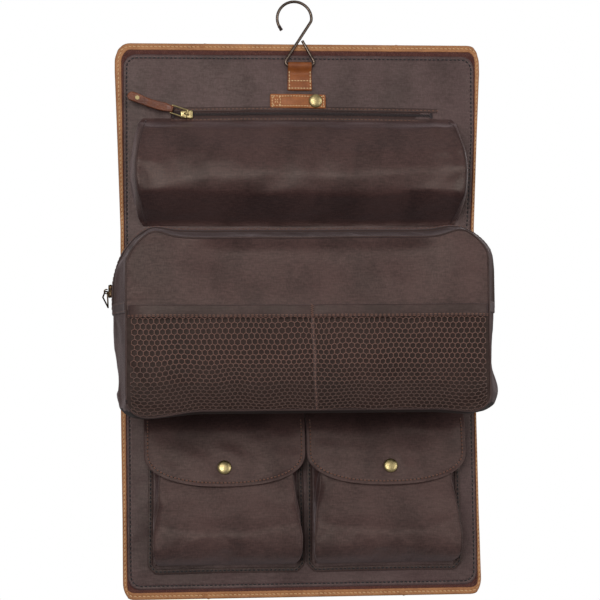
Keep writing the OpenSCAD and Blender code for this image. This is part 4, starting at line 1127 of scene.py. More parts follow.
CP_LO, CP_HI = (c - ORIGIN for c in box_mm("compartment_gusset"))
CF_LO, CF_HI = (c - ORIGIN for c in box_mm("compartment_front"))
DEPTH, BULGE = -CF_LO[1], CP_HI[0] - CF_HI[0]
FRONT = dict(half=CF_HI[0] + 0.5, top=-201.5, low=CP_LO[2] + 0.5, a_top=(28, 22), b_top=(23, 17), a_low=17,
    b_low=13, lift=5.2)
BACK = dict(half=CF_HI[0] - 1, top=CP_HI[2], low=CP_LO[2] + 7, a_top=(24, 24), b_top=(22, 22), a_low=14,
    b_low=14, lift=0)
COLS, ROWS, DEEP = 92, 40, 22
ZIP_END = box_mm("compartment_zip_coil")[0][2] - ORIGIN[2]


def corner_sag(x):
    """How far the filled compartment's lower corners hang down."""
    return 5.0 * smooth((-x - 82) / 44) + 2.4 * smooth((x - 95) / 34)


def panel_grid(half, top, low, a_top, b_top, a_low, b_low, lift):
    """Points that fill a rectangle with soft corners; lift raises the top seam towards its corners."""
    u = np.linspace(-1, 1, COLS + 1)
    x = half * np.sin(math.pi / 2 * 0.93 * u) / math.sin(math.pi / 2 * 0.93)
    cut = lambda a, b: b * (1 - np.sqrt(1 - np.clip((np.abs(x) - (half - a)) / a, 0, 1) ** 2))
    hi = top + lift * hump((np.abs(x) - (half - 21)) / 13) + (0.5 * wobble(x, 0 * x, 70, 51) if lift else 0)
    hi -= np.where(x < 0, cut(a_top[0], b_top[0]), cut(a_top[1], b_top[1]))
    lo = low + cut(a_low, b_low)
    if lift:
        lo -= corner_sag(x)
    t = np.linspace(0, 1, ROWS + 1)[:, None]
    z = hi * (1 - t) + lo * t
    return np.stack([np.broadcast_to(x, z.shape), np.zeros_like(z), z], axis=2)


def rim(g):
    """A grid's edge as a loop: up the left side, along the top, down the right, back along the bottom."""
    return np.concatenate([g[::-1, 0], g[0, 1:], g[1:, -1], g[-1, -2:0:-1]])


def out_normals(loop):
    n = loop_normals(loop[:, [0, 2]])
    mid = loop[:, [0, 2]].mean(0)
    if ((loop[:, [0, 2]] - mid) * n).sum() < 0:
        n = -n
    return stack(n[:, 0], 0 * n[:, 0], n[:, 1])


def front_bow(x, z):
    """How far the stuffed front stands out, and the dents in it."""
    u, w = np.clip(np.abs(x) / FRONT["half"], 0, 1), np.clip((FRONT["top"] - z)
        / (FRONT["top"] - FRONT["low"]), 0, 1)
    swell = 3.2 * (1 - u ** 4) * np.sin(math.pi * w) ** 0.8
    s = np.maximum(FRONT["top"] - z, 0) / (15 - 5 * np.clip(np.abs(x - 5) / 110, 0, 1) ** 2)
    dent = 8.0 * s * np.exp(1 - s) * smooth((x + 112) / 50) * smooth((122 - x) / 50)
    return swell - dent + 0.7 * np.sin(math.pi * w) * wobble(x, z * 1.4, 85, 53)


def shade_faces(o, pick, *mats):
    """Paints shade: gives the picked faces a darker cloth."""
    me = o.data
    for mat in mats:
        me.materials.append(mat)
    c, n = (np.zeros(len(me.polygons) * 3, np.float32) for _ in range(2))
    me.polygons.foreach_get("center", c)
    me.polygons.foreach_get("normal", n)
    me.polygons.foreach_set("material_index",
        pick(c.reshape(-1, 3) / MM - ORIGIN, n.reshape(-1, 3)).astype(np.int32))


def rows_on(g, i):
    """Strips that lie on the gusset's surface along its columns i; across is measured from its middle."""
    out = np.cross(np.gradient(g, axis=0), np.gradient(g, axis=1))
    out = unit(out)
    out *= np.where(((g - g.mean((0, 1))) * (1, 0, 1) * out).sum(2, keepdims=True) < 0, -1, 1)

    def strip(across, lift):
        k = (0.5 - np.asarray(across, float) / DEPTH) * DEEP
        a = np.clip(k.astype(int), 0, DEEP - 1)
        w = (k - a)[:, None, None]
        p = g[a][:, i] * (1 - w) + g[a + 1][:, i] * w
        n = out[a][:, i] * (1 - w) + out[a + 1][:, i] * w
        p = p + n * np.asarray(lift, float)[:, None, None]
        return p.transpose(1, 0, 2).reshape(-1, 3), grid_faces(len(i), len(k))

    return strip


def compartment():
    front, back = panel_grid(**FRONT), panel_grid(**BACK)
    lf, lb = rim(front), rim(back)
    n = len(lf)
    rows = []
    for k in range(DEEP + 1):
        t = k / DEEP
        ring = lb * (1 - t) + lf * t
        nr = out_normals(ring)
        side = BULGE * (1 - 0.28 * smooth((ring[:, 2] + 226) / 28) - 0.1 * smooth((-290 - ring[:, 2]) / 36))
        side += 4.0 * hump((ring[:, 2] + 322) / 13) * (ring[:, 0] > 0)
        side -= 5.6 * smooth((ring[:, 2] + 240) / 34) * (ring[:, 0] < 0)
        grow = np.where(nr[:, 2] > 0, 2.4, 8.5) * np.abs(nr[:, 2]) ** 2 + side * nr[:, 0] ** 2
        lean = np.sin(math.pi * t) ** 0.75
        late = np.sin(math.pi * t ** 1.35) ** 0.8
        low_part = np.where(nr[:, 2] < -0.3, late, lean)
        rows.append(ring + nr * (grow * low_part)[:, None] + (0, -DEPTH * t, 0))
    g = np.array(rows)
    along = np.concatenate([[0], np.cumsum(np.linalg.norm(np.diff(lf, axis=0), axis=1))])
    zip_rows = [k for k in range(DEEP + 1) if abs(k / DEEP - 0.5) * DEPTH < 7.6]
    pinned = np.zeros((DEEP + 1, n), bool)
    pinned[[0, DEEP]] = True
    zipped = (g[DEEP // 2, :, 2] > ZIP_END - 9) & (np.arange(n) < 2 * ROWS + COLS + 1)
    for k in zip_rows:
        pinned[k] |= zipped
    loose = np.zeros((DEEP + 1, n))
    corner = hump((np.abs(g[:, :, 0]) - 128) / 12) * (g[:, :, 2] > -225)
    loose += corner + 0.6 * (g[:, :, 2] < -300) + 0.3
    f = grid_faces(DEEP + 1, n, wrap=True)
    v = billow(g.reshape(-1, 3), f, pinned.ravel(), pressure=2.6, shrink=(-0.01, -0.05),
        loose=np.clip(loose, 0, 1).ravel(), cap=3.6)
    uv = np.stack([np.broadcast_to(along, (DEEP + 1, n)),
            np.linspace(0, DEPTH, DEEP + 1)[:, None] + 0 * along], axis=2).reshape(-1, 2)
    # the loop is closed with a doubled column, so that the weave doesn't run back across the last strip
    g, uv = v.reshape(DEEP + 1, n, 3), uv.reshape(DEEP + 1, n, 2)
    gg = np.concatenate([g, g[:, :1]], axis=1)
    uu = np.concatenate([uv, uv[:, :1] + (along[-1] + 3 - along[0], 0)], axis=1)
    gusset = riding("middle_section", "compartment_gusset_cloth", gg.reshape(-1, 3),
        grid_faces(DEEP + 1, n + 1), NYLON, "pocket_cloth", ["compartment_gusset"], uv=uu.reshape(-1, 2))
    # the gusset's top and underside faces get darker cloth: painted shade, deepest underneath
    shade_faces(gusset, lambda c, n: np.where(c[:, 2] > -225, 1, 2)
        * (((c[:, 2] > -212) | (c[:, 2] < FRONT["low"] + 5)) & (np.abs(n[:, 2]) > 0.6)), TOP_SHADE_CLOTH, UNDERSIDE_SHADE_CLOTH)
    soften(gusset)

    p = front.reshape(-1, 3).copy()
    edge = np.zeros((ROWS + 1, COLS + 1), bool)
    edge[[0, -1]] = edge[:, [0, -1]] = True
    p[:, 1] = -DEPTH - np.where(edge.ravel(), 0, front_bow(p[:, 0], p[:, 2]))
    loose = hump((np.abs(p[:, 0]) - 126) / 16) * smooth((p[:, 2] + 235)
        / 25) + 0.25 * (wobble(p[:, 0], p[:, 2], 90, 54) > 0)
    f = grid_faces(ROWS + 1, COLS + 1, flip=True)
    q = billow(p, f, edge.ravel(), pressure=1.2, shrink=(-0.006, -0.035), loose=np.clip(loose, 0, 1), cap=2.2)
    q[:, 1] = np.maximum(q[:, 1], -DEPTH - 5.4)
    face = riding("middle_section", "compartment_front_cloth", q, f, NYLON, "pocket_cloth",
        ["compartment_front"], uv=front.reshape(-1, 3)[:, [0, 2]])
    # the front below the hem, behind the net, gets darker cloth: painted shade
    shade_faces(face, lambda c, n: c[:, 2] < -258, NYLON_SHADED_BEHIND_NET)
    soften(face)

    # corded seam, with the threads that show along its top
    loop = lf + (0, -DEPTH, 0)
    nr = out_normals(lf) * 0.55 + (0, -0.83, 0)
    path = spaced(loop, 1.4, closed=True)
    near = nearest(loop, path)
    cord, cf = sweep(path + nr[near] * 0.15, circle(0.75, 8), nr[near], closed=True)
    riding("middle_section", "compartment_front_seam", cord, cf, NYLON_FLAT, "pocket_cloth")
    top = loop[np.abs(loop[:, 0] - 2) < 34]
    top = top[top[:, 2] > -215]
    top = top[np.argsort(top[:, 0])]
    riding("middle_section", "compartment_top_thread",
        *stitches(top + (0, 0.5, 0.8), (0, -0.5, 1), pitch=3.6, size=(2.8, 0.45, 0.35)), PALE_THREAD,
        "pocket_cloth")

    # the zip over the top and down both sides
    i = np.where((g[DEEP // 2, :, 2] > ZIP_END - 3) & (np.arange(n) < 2 * ROWS + COLS + 1))[0]
    path, up = g[DEEP // 2][i], out_normals(lb * 0.5 + lf * 0.5)[i]
    strip = rows_on(g, i)
    tape, tf = strip(np.linspace(-7, 7, 9), np.full(9, 0.12))
    tape = riding("middle_section", "compartment_zip_tape_cloth", tape, tf, TAPE_SIDE, "zip_tape",
        ["compartment_zip_tape"])
    tv, tf = teeth(path + up * 0.45, up)
    riding("middle_section", "compartment_zip_teeth", tv, tf, COIL_SIDE, "zip_coil", ["compartment_zip_coil"])
    lips, sew = [], []
    for s in (-1, 1):
        lips.append(strip(s * np.array([0.55, 0.5, 0.8, 1.6, 3.2, 5.0, 6.8, 8.4, 9.2, 9.6]),
                [0.2, 0.8, 1.15, 1.25, 1.15, 1.05, 0.95, 0.85, 0.55, -0.2]))
        line, _ = strip([s * 3.9], [1.2])
        sew.append(stitches(line, up, pitch=3.4, size=(2.3, 0.7, 0.45)))
    # the lips take the top's darker cloth: painted shade
    riding("middle_section", "compartment_zip_lips", *joined(*lips), TOP_SHADE_CLOTH, "pocket_cloth")
    riding("middle_section", "compartment_zip_stitches", *joined(*sew), BROWN_THREAD, "pocket_cloth")

    # bands sewn across the sides, under the zip's ends
    tree = surface(gusset)
    bands, sew = [], []
    for s in (-1, 1):
        y = np.linspace(-3, -DEPTH + 1.5, 40)
        base = stack(s * 150.0, y, ZIP_END - 4.5)
        path, up = laid(tree, base, (-s, 0, 0))
        up = unit(up * (1, 1, 0.2))
        bands.append(ribbon(path, up, 9.0, 1.1, lift=-0.1))
        for e in (-3.2, 3.2):
            sew.append(stitches(path + (0, 0, e) + up * 0.95, up, pitch=3.4, size=(2.3, 0.6, 0.4)))
    riding("middle_section", "zip_end_bands_cloth", *joined(*bands), NYLON_FLAT, "pocket_cloth",
        ["zip_end_bands"])
    riding("middle_section", "zip_end_band_stitches", *joined(*sew), BROWN_THREAD, "pocket_cloth")

    # the slider on the left side
    lug = joint_mm("side_pull_swing")
    riding("side_slider", "side_slider_body",
        *slider_shape(lug + (3.2, 0, 0), (0, 0, 1), (-1, 0, 0), (0, 0, 1)), SIDE_BRASS, "brass",
        ["side_zip_slider"])
    paint("side_zip_pull", SIDE_BRASS)


PALE_THREAD = thread("pale_thread", rgb(120, 104, 96), rgb(168, 150, 138))
compartment()


# ---------------------------------------------------------------- mesh pocket

HEM_TOP, HEM_LOW, NET_LOW, NET_HALF = -253.6, -263.4, FRONT["low"] + 0.6, 139


def net_y(x, z):
    """The net's distance in front of the panel: sewn at its sides, its foot and the seam down its middle."""
    t = np.clip((HEM_TOP - z) / (HEM_TOP - NET_LOW), 0, 1)
    hang = 6.4 + 2.4 * np.sin(math.pi * t ** 1.2)
    foot = np.sqrt(np.clip(1 - np.clip((t - 0.62) / 0.38, 0, 1) ** 2.4, 0, 1))
    side = 1 - np.clip(np.abs(x) / 139.5, 0, 1) ** 14
    seam = 1 - (0.10 + 0.24 * t) * hump((x - 3 - 2 * t) / 9)
    folds = 0.5 * wobble(x * 1.6, z * 0.7, 40, 61) + 0.35 * wobble(x, z, 17, 62)
    folds += 0.8 * hump((x - 12 - 16 * t) / 5) * t + 0.7 * hump((x + 8 + 20 * t) / 5) * t
    corner = 1.6 * hump((np.abs(x) - 122) / 16) * smooth((t - 0.4) / 0.4)
    return -DEPTH - 0.3 - (hang + corner + folds * np.sin(math.pi * t)) * foot * side * seam


def net_drop(x, z):
    """The filled corners hang lower than the foot's seam."""
    t = np.clip((HEM_TOP - z) / (HEM_TOP - NET_LOW), 0, 1)
    return -(corner_sag(x) + 0.8) * smooth((t - 0.35) / 0.65) + corner_rise(x) * smooth((t - 0.6) / 0.4)


def corner_rise(x):
    """The front's lower corners are round, so the net's foot rises with them."""
    past = np.clip((np.abs(x) - (FRONT["half"] - FRONT["a_low"])) / FRONT["a_low"], 0, 1)
    return 0.8 * FRONT["b_low"] * (1 - np.sqrt(1 - past ** 2))


def on_net(x, z, out=0.0):
    x, z = np.asarray(x, float), np.asarray(z, float)
    return np.stack([x, net_y(x, z) - out, z + net_drop(x, z)], axis=-1)


def net():
    """A knitted net of six-sided holes, strand by strand."""
    pitch = 4.35
    rise = pitch * math.sqrt(3) / 2
    half = pitch / math.sqrt(3)
    nodes, edges, key = [], [], {}

    def node(x, z):
        k = (round(x * 100), round(z * 100))
        if k not in key:
            key[k] = len(nodes)
            nodes.append((x, z))
        return key[k]

    high, lines = HEM_LOW + 1.5 - NET_LOW, 22
    for r in range(lines + 1):
        for c in range(-33, 34):
            x = c * pitch + (pitch / 2 if r % 2 else 0)
            z = -r * rise
            a, b = node(x, z + half / 2), node(x, z - half / 2)
            edges += [(a, b), (b, node(x + pitch / 2, z - half)), (b, node(x - pitch / 2, z - half))]
    nodes = np.array(nodes)
    # the rows crowd together towards the foot
    t = -nodes[:, 1] / (lines * rise)
    nodes[:, 1] = HEM_LOW + 1.5 - high * (t + 0.09 * np.sin(math.pi * t))
    ok = (np.abs(nodes[:, 0]) < NET_HALF) & (nodes[:, 1] > NET_LOW - 0.4)
    edges = np.array([e for e in edges if ok[e[0]] and ok[e[1]]])
    # knitting is never quite even
    x = nodes[:, 0] + 0.9 * wobble(nodes[:, 0], nodes[:, 1], 34, 64)
    z = nodes[:, 1] + 0.8 * wobble(nodes[:, 0], nodes[:, 1], 30, 65)
    slant = 0.25 * (nodes[:, 1] - HEM_LOW) * np.tanh(x / 60) * 0.25
    x = x + slant * smooth((NET_HALF - np.abs(x)) / 30)
    p = on_net(x, z)
    e = 0.5
    nx = on_net(x + e, z) - on_net(x - e, z)
    nz = on_net(x, z + e) - on_net(x, z - e)
    nrm = unit(np.cross(nx, nz))
    nrm *= np.where(nrm[:, 1:2] > 0, -1, 1)
    a, b = p[edges[:, 0]], p[edges[:, 1]]
    up = nrm[edges[:, 0]] + nrm[edges[:, 1]]
    t = unit(b - a)
    side = unit(np.cross(t, up))
    top = np.cross(side, t)
    ring = np.array([(1, 0), (0.5, 0.8), (-0.5, 0.8), (-1, 0), (-0.5, -0.8), (0.5, -0.8)])
    width, thick = 0.31, 0.26
    v = []
    for end, shift, w in ((a, -0.3, 0.9), ((a + b) / 2, 0.0, 0.82), (b, 0.3, 0.9)):
        base = end + t * shift
        v.append(base[:, None] + side[:, None] * ring[None, :, :1] * width * w + top[:, None]
            * ring[None, :, 1:] * thick * w)
    v = np.stack(v, axis=1).reshape(-1, 3)
    faces = [[i + 18 * k for i in q] for q in tube_faces(3, 6, flip=True) for k in range(len(edges))]
    # half of the strands' own surface: their mean radius and length
    area = 0.5 * len(edges) * (2 * math.pi * 0.27 * (pitch / math.sqrt(3) + 0.6))
    return v, faces, area


def mesh_pocket():
    v, f, area = net()
    o = riding("middle_section", "mesh_pocket_net", v, f, NET, "mesh", ["mesh_pocket"])
    # strands near the foot get darker copies in two steps: painted shade
    shade_faces(o, lambda c, n: (c[:, 2] < NET_LOW + 34) * 1 + (c[:, 2] < NET_LOW + 20), NET_SHADED, NET_SHADED_DEEP)
    # hem band
    x = np.linspace(-138.6, 138.6, 170)
    z = (HEM_TOP + HEM_LOW) / 2 + 0.5 * (x / NET_HALF) ** 2 + 0.2 * wobble(x, 0 * x, 60, 66) - 0.4
    path = on_net(x, z, 0.3)
    path[:, 1] = np.minimum(path[:, 1], -DEPTH - 1.2)
    hv, hf = ribbon(path, OUT, HEM_TOP - HEM_LOW, 1.1)
    riding("middle_section", "mesh_hem_cloth", hv, hf, NYLON_FLAT, "pocket_cloth", ["mesh_hem_band"])
    rows = [stitches(path + (0, -1.12, -3.1), OUT, pitch=3.3, size=(2.2, 0.75, 0.45)),
        stitches(path + (0, -1.12, -4.3), OUT, pitch=3.3, size=(2.2, 0.6, 0.4))]
    # bar tack at the top of the middle seam
    zz = np.linspace(HEM_TOP - 0.6, HEM_LOW + 0.6, 12)
    tack = stack(1.6 + 0.9 * np.where(np.arange(12) % 2, 1, -1), float(net_y(1.6, -258)) - 1.75, zz)
    rows.append(sweep(tack, circle(0.42, 6), OUT))
    riding("middle_section", "mesh_hem_stitches", *joined(*rows), BROWN_THREAD, "pocket_cloth")
    # middle seam: a folded strip behind the net, sewn to the front
    z = np.linspace(HEM_LOW + 1, NET_LOW + 1, 50)
    t = (z[0] - z) / (z[0] - z[-1])
    xs = 2.2 + 2.4 * t + 0.3 * np.sin(z / 6)
    path = on_net(xs, z, -1.1)
    dv, df = ribbon(path, OUT, 2.8, 0.7)
    riding("middle_section", "mesh_divider_cloth", dv, df, NYLON_FLAT, "mesh", ["mesh_divider"])
    riding("middle_section", "mesh_divider_stitches",
        *stitches(path + (0, -1.25, 0), OUT, pitch=3.2, size=(2.0, 0.6, 0.5)), NET, "mesh")


mesh_pocket()


# ---------------------------------------------------------------- lower pockets and flaps

def pocket_shape(node):
    lo, hi = (c - ORIGIN for c in box_mm(node))
    return (lo[0] + hi[0]) / 2, (hi[0] - lo[0]) / 2, hi[2], lo[2]


def bellows_pocket(tag, seed):
    """A pocket with a flat front on soft folded sides, sewn on round a flat edge."""
    cx, half, top, low = pocket_shape(f"{tag}_pocket")
    hem_z, sewn = top - 6, low + 6.5
    cols, rows, side = 44, 40, 9
    left = -1 if tag == "left" else 1
    t = np.linspace(0, 1, rows + 1)
    z = hem_z + (sewn - hem_z) * t
    # the front is narrow at its mouth and full at its foot
    w_front = np.interp(t, [0, 0.18, 0.5, 0.8, 0.93, 1],
        [half - 11.5, half - 9.5, half - 6.0, half - 3.6, half - 4.2, half - 7.5])
    w_foot = half - 5.6
    full = np.interp(t, [0, 0.1, 0.28, 0.42, 0.6, 0.78, 0.88, 0.95, 0.985, 1.0],
        [7.4, 10.0, 13.9, 17.4, 23, 27.5, 27.5, 23, 13, 0.8])
    v, uv, pinned, loose = [], [], [], []
    for k in range(rows + 1):
        s = np.linspace(0, 1, side + 1)[:-1]
        fold = np.sin(math.pi * s) ** 2 * 3.4 * (1 - 0.6 * t[k])
        edge = -(w_foot + (w_front[k] - w_foot) * smooth(s)) + fold
        lefts = stack(edge, -full[k] * s, z[k])
        x = np.linspace(-w_front[k], w_front[k], cols + 1)
        arc = 2.0 * (1 - (x / w_front[k]) ** 4) * smooth((t[k] - 0.38) / 0.3) * smooth((1 - t[k]) / 0.15)
        front = stack(x, -full[k] - arc, z[k])
        line = np.concatenate([lefts, front, lefts[::-1] * (-1, 1, 1)])
        n = len(line)
        v.append(line)
        u = np.concatenate([-w_front[k] - full[k] * (1 - s), x, w_front[k] + full[k] * (1 - s[::-1])])
        uv.append(stack(u + 200 * left, -z[k]))
        j = np.arange(n)
        pinned.append((j == 0) | (j == n - 1) | (k == rows) | ((k == 0) & (np.abs(line[:, 0]) < 12)))
        near = hump(np.minimum(np.abs(j - side), np.abs(j - side - cols)) / 3.0)
        loose.append(np.clip(near * (0.4 + 0.6 * t[k]) + 0.7 * smooth((t[k] - 0.75) / 0.2), 0, 1))
    v, uv = np.concatenate(v), np.concatenate(uv)
    v[:, 0] += cx
    pinned, loose = np.concatenate(pinned), np.concatenate(loose)
    v[:, 1] += np.where(pinned, 0, 0.6 * wobble(v[:, 0], v[:, 2], 34, seed))
    f = grid_faces(rows + 1, n, flip=True)
    v = billow(v, f, pinned, pressure=1.6, shrink=(-0.02, -0.09), loose=loose, cap=4.2, bend=0.4)
    v[:, 1] = np.minimum(v[:, 1], -0.35)
    # nothing stands out into the flap
    stop = np.interp(-v[:, 2], [-hem_z, 360, 370, 380, 390, 400, 410, 420, 430, 440],
        [8.0, 10.6, 12.7, 14.4, 17.2, 20.4, 23.6, 27, 32, 40])
    v[:, 1] = np.maximum(v[:, 1], -stop)
    g = v.reshape(rows + 1, n, 3)
    # turn the cloth in at the mouth
    turn = [g[0] + (0, dy, dz) for dy, dz in ((1.5, -9.0), (0.9, -4.0), (0.55, -0.9))]
    turn = [stack(r[:, 0], np.minimum(r[:, 1], -0.3), r[:, 2]) for r in turn]
    g2 = np.concatenate([np.array(turn), g])
    uv2 = np.concatenate([np.array([uv.reshape(rows + 1, n, 2)[0] + (0, d) for d in (9, 4, 0.9)]),
            uv.reshape(rows + 1, n, 2)])
    o = riding("lower_section", f"{tag}_pocket_cloth", g2.reshape(-1, 3), grid_faces(rows + 4, n, flip=True),
        NYLON, "pocket_cloth", [f"{tag}_pocket"], uv=uv2.reshape(-1, 2))
    soften(o)
    # the flat edge that is sewn to the lining
    pts = [(-half, top - 1), (-half, low + 5), (-half + 5, low), (half - 5, low), (half, low + 5),
        (half, top - 1)]
    path = spaced(np.array([(x + cx, -0.1, zz) for x, zz in pts]), 2.0)
    path[:, 1] -= 0.12 * (1 + wobble(path[:, 0], path[:, 2], 25, seed + 1))
    inward = np.array([cx, 0, (top + low) / 2 + 20]) - path
    inward = unit(inward * (1, 0, 1))
    fv, ff = ribbon(path + inward * 2.1, OUT, 4.4, 0.9)
    edge = riding("lower_section", f"{tag}_pocket_edge", fv, ff, NYLON_FLAT, "pocket_cloth")
    riding("lower_section", f"{tag}_pocket_stitches",
        *stitches(path + inward * 2.0 + (0, -1.0, 0), OUT, pitch=3.4, size=(2.4, 1.35, 0.65)), DARK_THREAD,
        "pocket_cloth")
    # pinched seams down the front's two edges
    tree = surface(o)
    parts = []
    for s in (side, side + cols):
        line = g[2:-3, s]
        d = 1 if s > side else -1
        parts.append(sweep(spaced(snug(tree, line), 1.0), circle(SEAM_R, 8), (d, -1, 0)))
    seam = riding("lower_section", f"{tag}_pocket_seams", *joined(*parts), NYLON_FLAT, "pocket_cloth")


def flap(tag, seed):
    """A soft flap with a curved edge, held down by its snap."""
    lo, hi = (c - ORIGIN for c in box_mm(f"{tag}_flap"))
    snap_lo, snap_hi = (c - ORIGIN for c in box_mm(f"{tag}_snap_cap"))
    cx, half, top, tip = (lo[0] + hi[0]) / 2, (hi[0] - lo[0]) / 2, hi[2] + 0.2, lo[2]
    snap = np.array([(snap_lo[0] + snap_hi[0]) / 2, 0, (snap_lo[2] + snap_hi[2]) / 2])
    thick = 1.7
    x_side, arc = half - 0.3, 27.0
    shoulder = tip + arc
    a = np.linspace(0, math.pi, 90)
    bottom = [(-x_side * math.copysign(abs(math.cos(q)) ** 0.86, math.cos(q)),
            shoulder - arc * math.sin(q) ** 0.86) for q in a]
    outline = [(-x_side, top)] + bottom + [(x_side, top)]
    loop = spaced(np.array(outline), 1.6, closed=True)
    nrm = loop_normals(loop)
    if ((loop + nrm * 0.5 - loop.mean(0)) ** 2).sum() < ((loop - loop.mean(0)) ** 2).sum():
        loop = loop[::-1]
        nrm = loop_normals(loop)

    def out(x, z):
        """How far the flap's front face stands off the lining."""
        rise = np.interp(-z, [336.4, 340, 345, 350, 360, 370, 380, 388, 395, 398],
            [2.0, 4.4, 8.2, 10.8, 13.4, 15.6, 17.6, 19.6, 21.4, 22.0])
        return rise - 3.2 * (np.abs(x) / half) ** 6 * smooth((-z - 345) / 20)

    v, f = plate(loop, nrm, [(2.2, thick), (0.9, thick), (0.15, thick - 0.1), (0, thick * 0.6), (0.05, 0.25),
            (0, 0), (0.12, -0.25), (0.5, -0.42), (1.2, -0.45), (2.2, -0.3), (3.2, -0.12), (4.6, 0)], 2.6)
    x, z = v[:, 0], v[:, 2]
    base = out(x, z)
    # one cushion of cloth, drawn in by its snap and crimped by its stitches
    d = np.hypot(x + cx - snap[0], z - snap[2])
    inside = np.array([np.min(np.hypot(loop[:, 0] - px, loop[:, 1] - pz)) for px, pz in zip(x, z)])
    puff = 1.1 * smooth(inside / 12) * (0.8 + 0.5 * wobble(x, z, 38, seed)) + 0.45 * smooth(inside
        / 8) * wobble(x * 0.6 + z * 0.5, z, 15, seed + 1)
    ripple = 0.55 * hump((inside - 1.5) / 3.5) * wobble(x, z, 16, seed + 2) * smooth((top - z) / 14)
    droop = 1.2 * hump((inside) / 7) * wobble(x, z, 46, seed + 3) * smooth((top - z) / 25)
    dimple = 2.0 * smooth(d / 13)
    lift = base + puff + np.maximum(ripple + droop, -0.6) + 0.35 * (dimple - 2.0)
    # flat round the snap
    lift = np.where(d < 11, base * (1 - smooth((d - 5.5) / 5.5)) + lift * smooth((d - 5.5) / 5.5), lift)
    lift = lift * smooth((top + 1 - z) / 5) + 1.9 * (1 - smooth((top + 1 - z) / 5))
    y = -lift + v[:, 1]
    at = stack(x + cx, y, z)
    uv = stack(x + 31.7 * seed, z - base * 0.4)
    o = make(f"{tag}_flap_cloth", at, f, NYLON, "pocket_cloth", uv=uv)
    hinge = joint_mm(f"{tag}_flap_open")
    ends = [row((0, 0, hinge[2] + s * 3.0)) for s in (1, -1)]
    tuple(ends[0])
    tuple(ends[1])
    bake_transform(o)
    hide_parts(f"{tag}_flap")
    soften(o)
    tree = surface(o)
    inner = loop - nrm * 3.1
    keep = inner[:, 1] < top - 5
    start = int(np.argmin(keep)) if not keep.all() else 0
    order = np.roll(np.arange(len(loop)), -start)
    run = inner[order][keep[order]]
    base = stack(run[:, 0] + cx, 0 * run[:, 0] - 10, run[:, 1])
    path, up = laid(tree, base, (0, 1, 0), lift=0.3)
    riding(f"{tag}_flap", f"{tag}_flap_stitches", *stitches(path, up, pitch=3.1, size=(2.3, 1.2, 0.85)),
        BROWN_THREAD, "pocket_cloth")
    # dark marks between the stitches: painted shade in the needle holes
    pts = spaced(path, 3.1)
    between = (pts[1:] + pts[:-1]) / 2
    near = nearest(path, between)
    riding(f"{tag}_flap", f"{tag}_flap_needle_hole_shade",
        *stitches(between, up[near], pitch=3.1, size=(0.95, 1.3, 0.75)), DARK_THREAD, "pocket_cloth")


for tag, seed in (("left", 71), ("right", 83)):
    bellows_pocket(tag, seed)
    flap(tag, seed)


# ---------------------------------------------------------------- seams across the leather's back

LAP_X = 79.0


def back_straps():
    """Two lapped seams that run down the leather's back and show where they turn over the edge."""
    straps, sew = [], []
    for x in (-LAP_X, LAP_X):
        z = np.linspace(TOP_Z + 0.2, BOTTOM_Z - 0.2, 260)
        path = stack(x, BACK_Y - 0.15, z)
        end = []
        for s, zz in ((1, TOP_Z), (-1, BOTTOM_Z)):
            a = np.radians(np.linspace(0, 90, 8))
            turn = stack(x, BACK_Y - 0.15 - 2.0 + 2.0 * np.cos(a), zz - s * 1.9 + s * 1.7 * np.sin(a))
            front = stack(x + np.linspace(0.2, 2.4, 7), np.linspace(BACK_Y - 2.8, -0.25, 7),
                zz - s * (0.25 + np.linspace(0, 1.0, 7) ** 3 * 2.6))
            end.append(np.concatenate([turn - (0, 0, s * 0.55), front - (0, 0, s * 0.3)]))
        mid = path[(z < TOP_Z - 1.6) & (z > BOTTOM_Z + 1.6)]
        line = np.concatenate([end[0][::-1], mid, end[1]])
        line = spaced(line, 1.6)
        up = np.cross(frames_along(line, (1, 0, 0))[0], (1.0, 0, 0))
        up *= np.where(up[:, 1] < -0.3, -1, 1)[:, None]
        centre = np.array([x, 0, (TOP_Z + BOTTOM_Z) / 2])
        flip = ((line - centre) * (0.0, 60, 1) * up).sum(1) < 0
        up[flip] *= -1
        straps.append(ribbon(line, up, 6.4, 0.3))
        for e in (-2.1, 2.1):
            sew.append(stitches(line[8:-8] + (e, 0, 0) + up[8:-8] * 0.55, up[8:-8], pitch=3.4,
                    size=(2.3, 0.7, 0.5)))
    halves("leather_lap_seams", *joined(*straps), TAN, "leather")
    halves("leather_lap_stitches", *joined(*sew), CREAM, "leather")


back_straps()


# ---------------------------------------------------------------- stage, light and camera

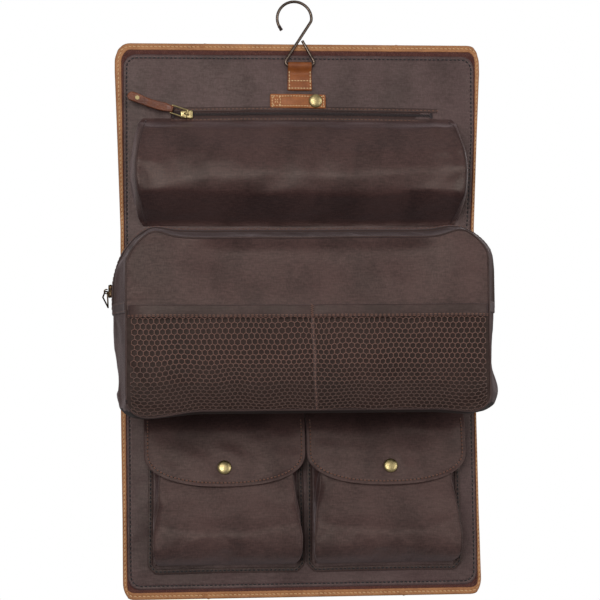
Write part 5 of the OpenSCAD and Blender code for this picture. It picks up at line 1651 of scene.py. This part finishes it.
def area_light(name, place, aim, size, power, colour=(1, 1, 1)):
    data = bpy.data.lights.new(name, "AREA")
    data.shape, data.size, data.size_y, data.energy, data.color = "RECTANGLE", size[0], size[1], power, colour
    o = add(name, data)
    o.location = place
    o.rotation_mode = "QUATERNION"
    o.rotation_quaternion = (Vector(aim) - Vector(place)).to_track_quat("-Z", "Y")


AMBIENT = 0.22
target = Vector(row((0, 0, -244.5)))
area_light("key", (-0.5, -1.64, 0.06), target, (0.8, 0.9), 13)
area_light("fill", (1.3, -1.3, 0.0), target, (1.2, 1.2), 9)
area_light("top", (0.1, -0.5, 1.3), target, (1.2, 0.6), 0.8)
area_light("back", (0.3, 1.6, 0.6), target, (1.4, 1.2), 7)


def studio_world():
    """White to look at, and a softer white as light."""
    world = bpy.data.worlds.new("studio")
    world.use_nodes = True
    t = world.node_tree
    soft, shown, pick, path = (t.nodes[n] if n in t.nodes else t.nodes.new(n)
        for n in ("Background", "ShaderNodeBackground", "ShaderNodeMixShader", "ShaderNodeLightPath"))
    soft.inputs["Color"].default_value = shown.inputs["Color"].default_value = (1, 1, 1, 1)
    soft.inputs["Strength"].default_value = AMBIENT
    t.links.new(path.outputs["Is Camera Ray"], pick.inputs[0])
    t.links.new(soft.outputs[0], pick.inputs[1])
    t.links.new(shown.outputs[0], pick.inputs[2])
    t.links.new(pick.outputs[0], t.nodes["World Output"].inputs["Surface"])
    bpy.context.scene.world = world


studio_world()
bpy.context.scene.view_settings.view_transform = "Standard"

AZIMUTH, ELEVATION, DISTANCE, FOCAL, ROLL = math.radians(-5), math.radians(-4), 1.5, 110.5, math.radians(-0.6)
cam = bpy.data.cameras.new("camera")
cam.lens, cam.sensor_width, cam.clip_end = FOCAL, 36, 50
camera = add("camera", cam)
away = Vector((math.sin(AZIMUTH) * math.cos(ELEVATION), -math.cos(AZIMUTH) * math.cos(ELEVATION),
        math.sin(ELEVATION)))
camera.location = target + away * DISTANCE
camera.rotation_mode = "QUATERNION"
camera.rotation_quaternion = (-away).to_track_quat("-Z", "Y") @ Quaternion((0, 0, 1), ROLL)
bpy.context.scene.camera = camera
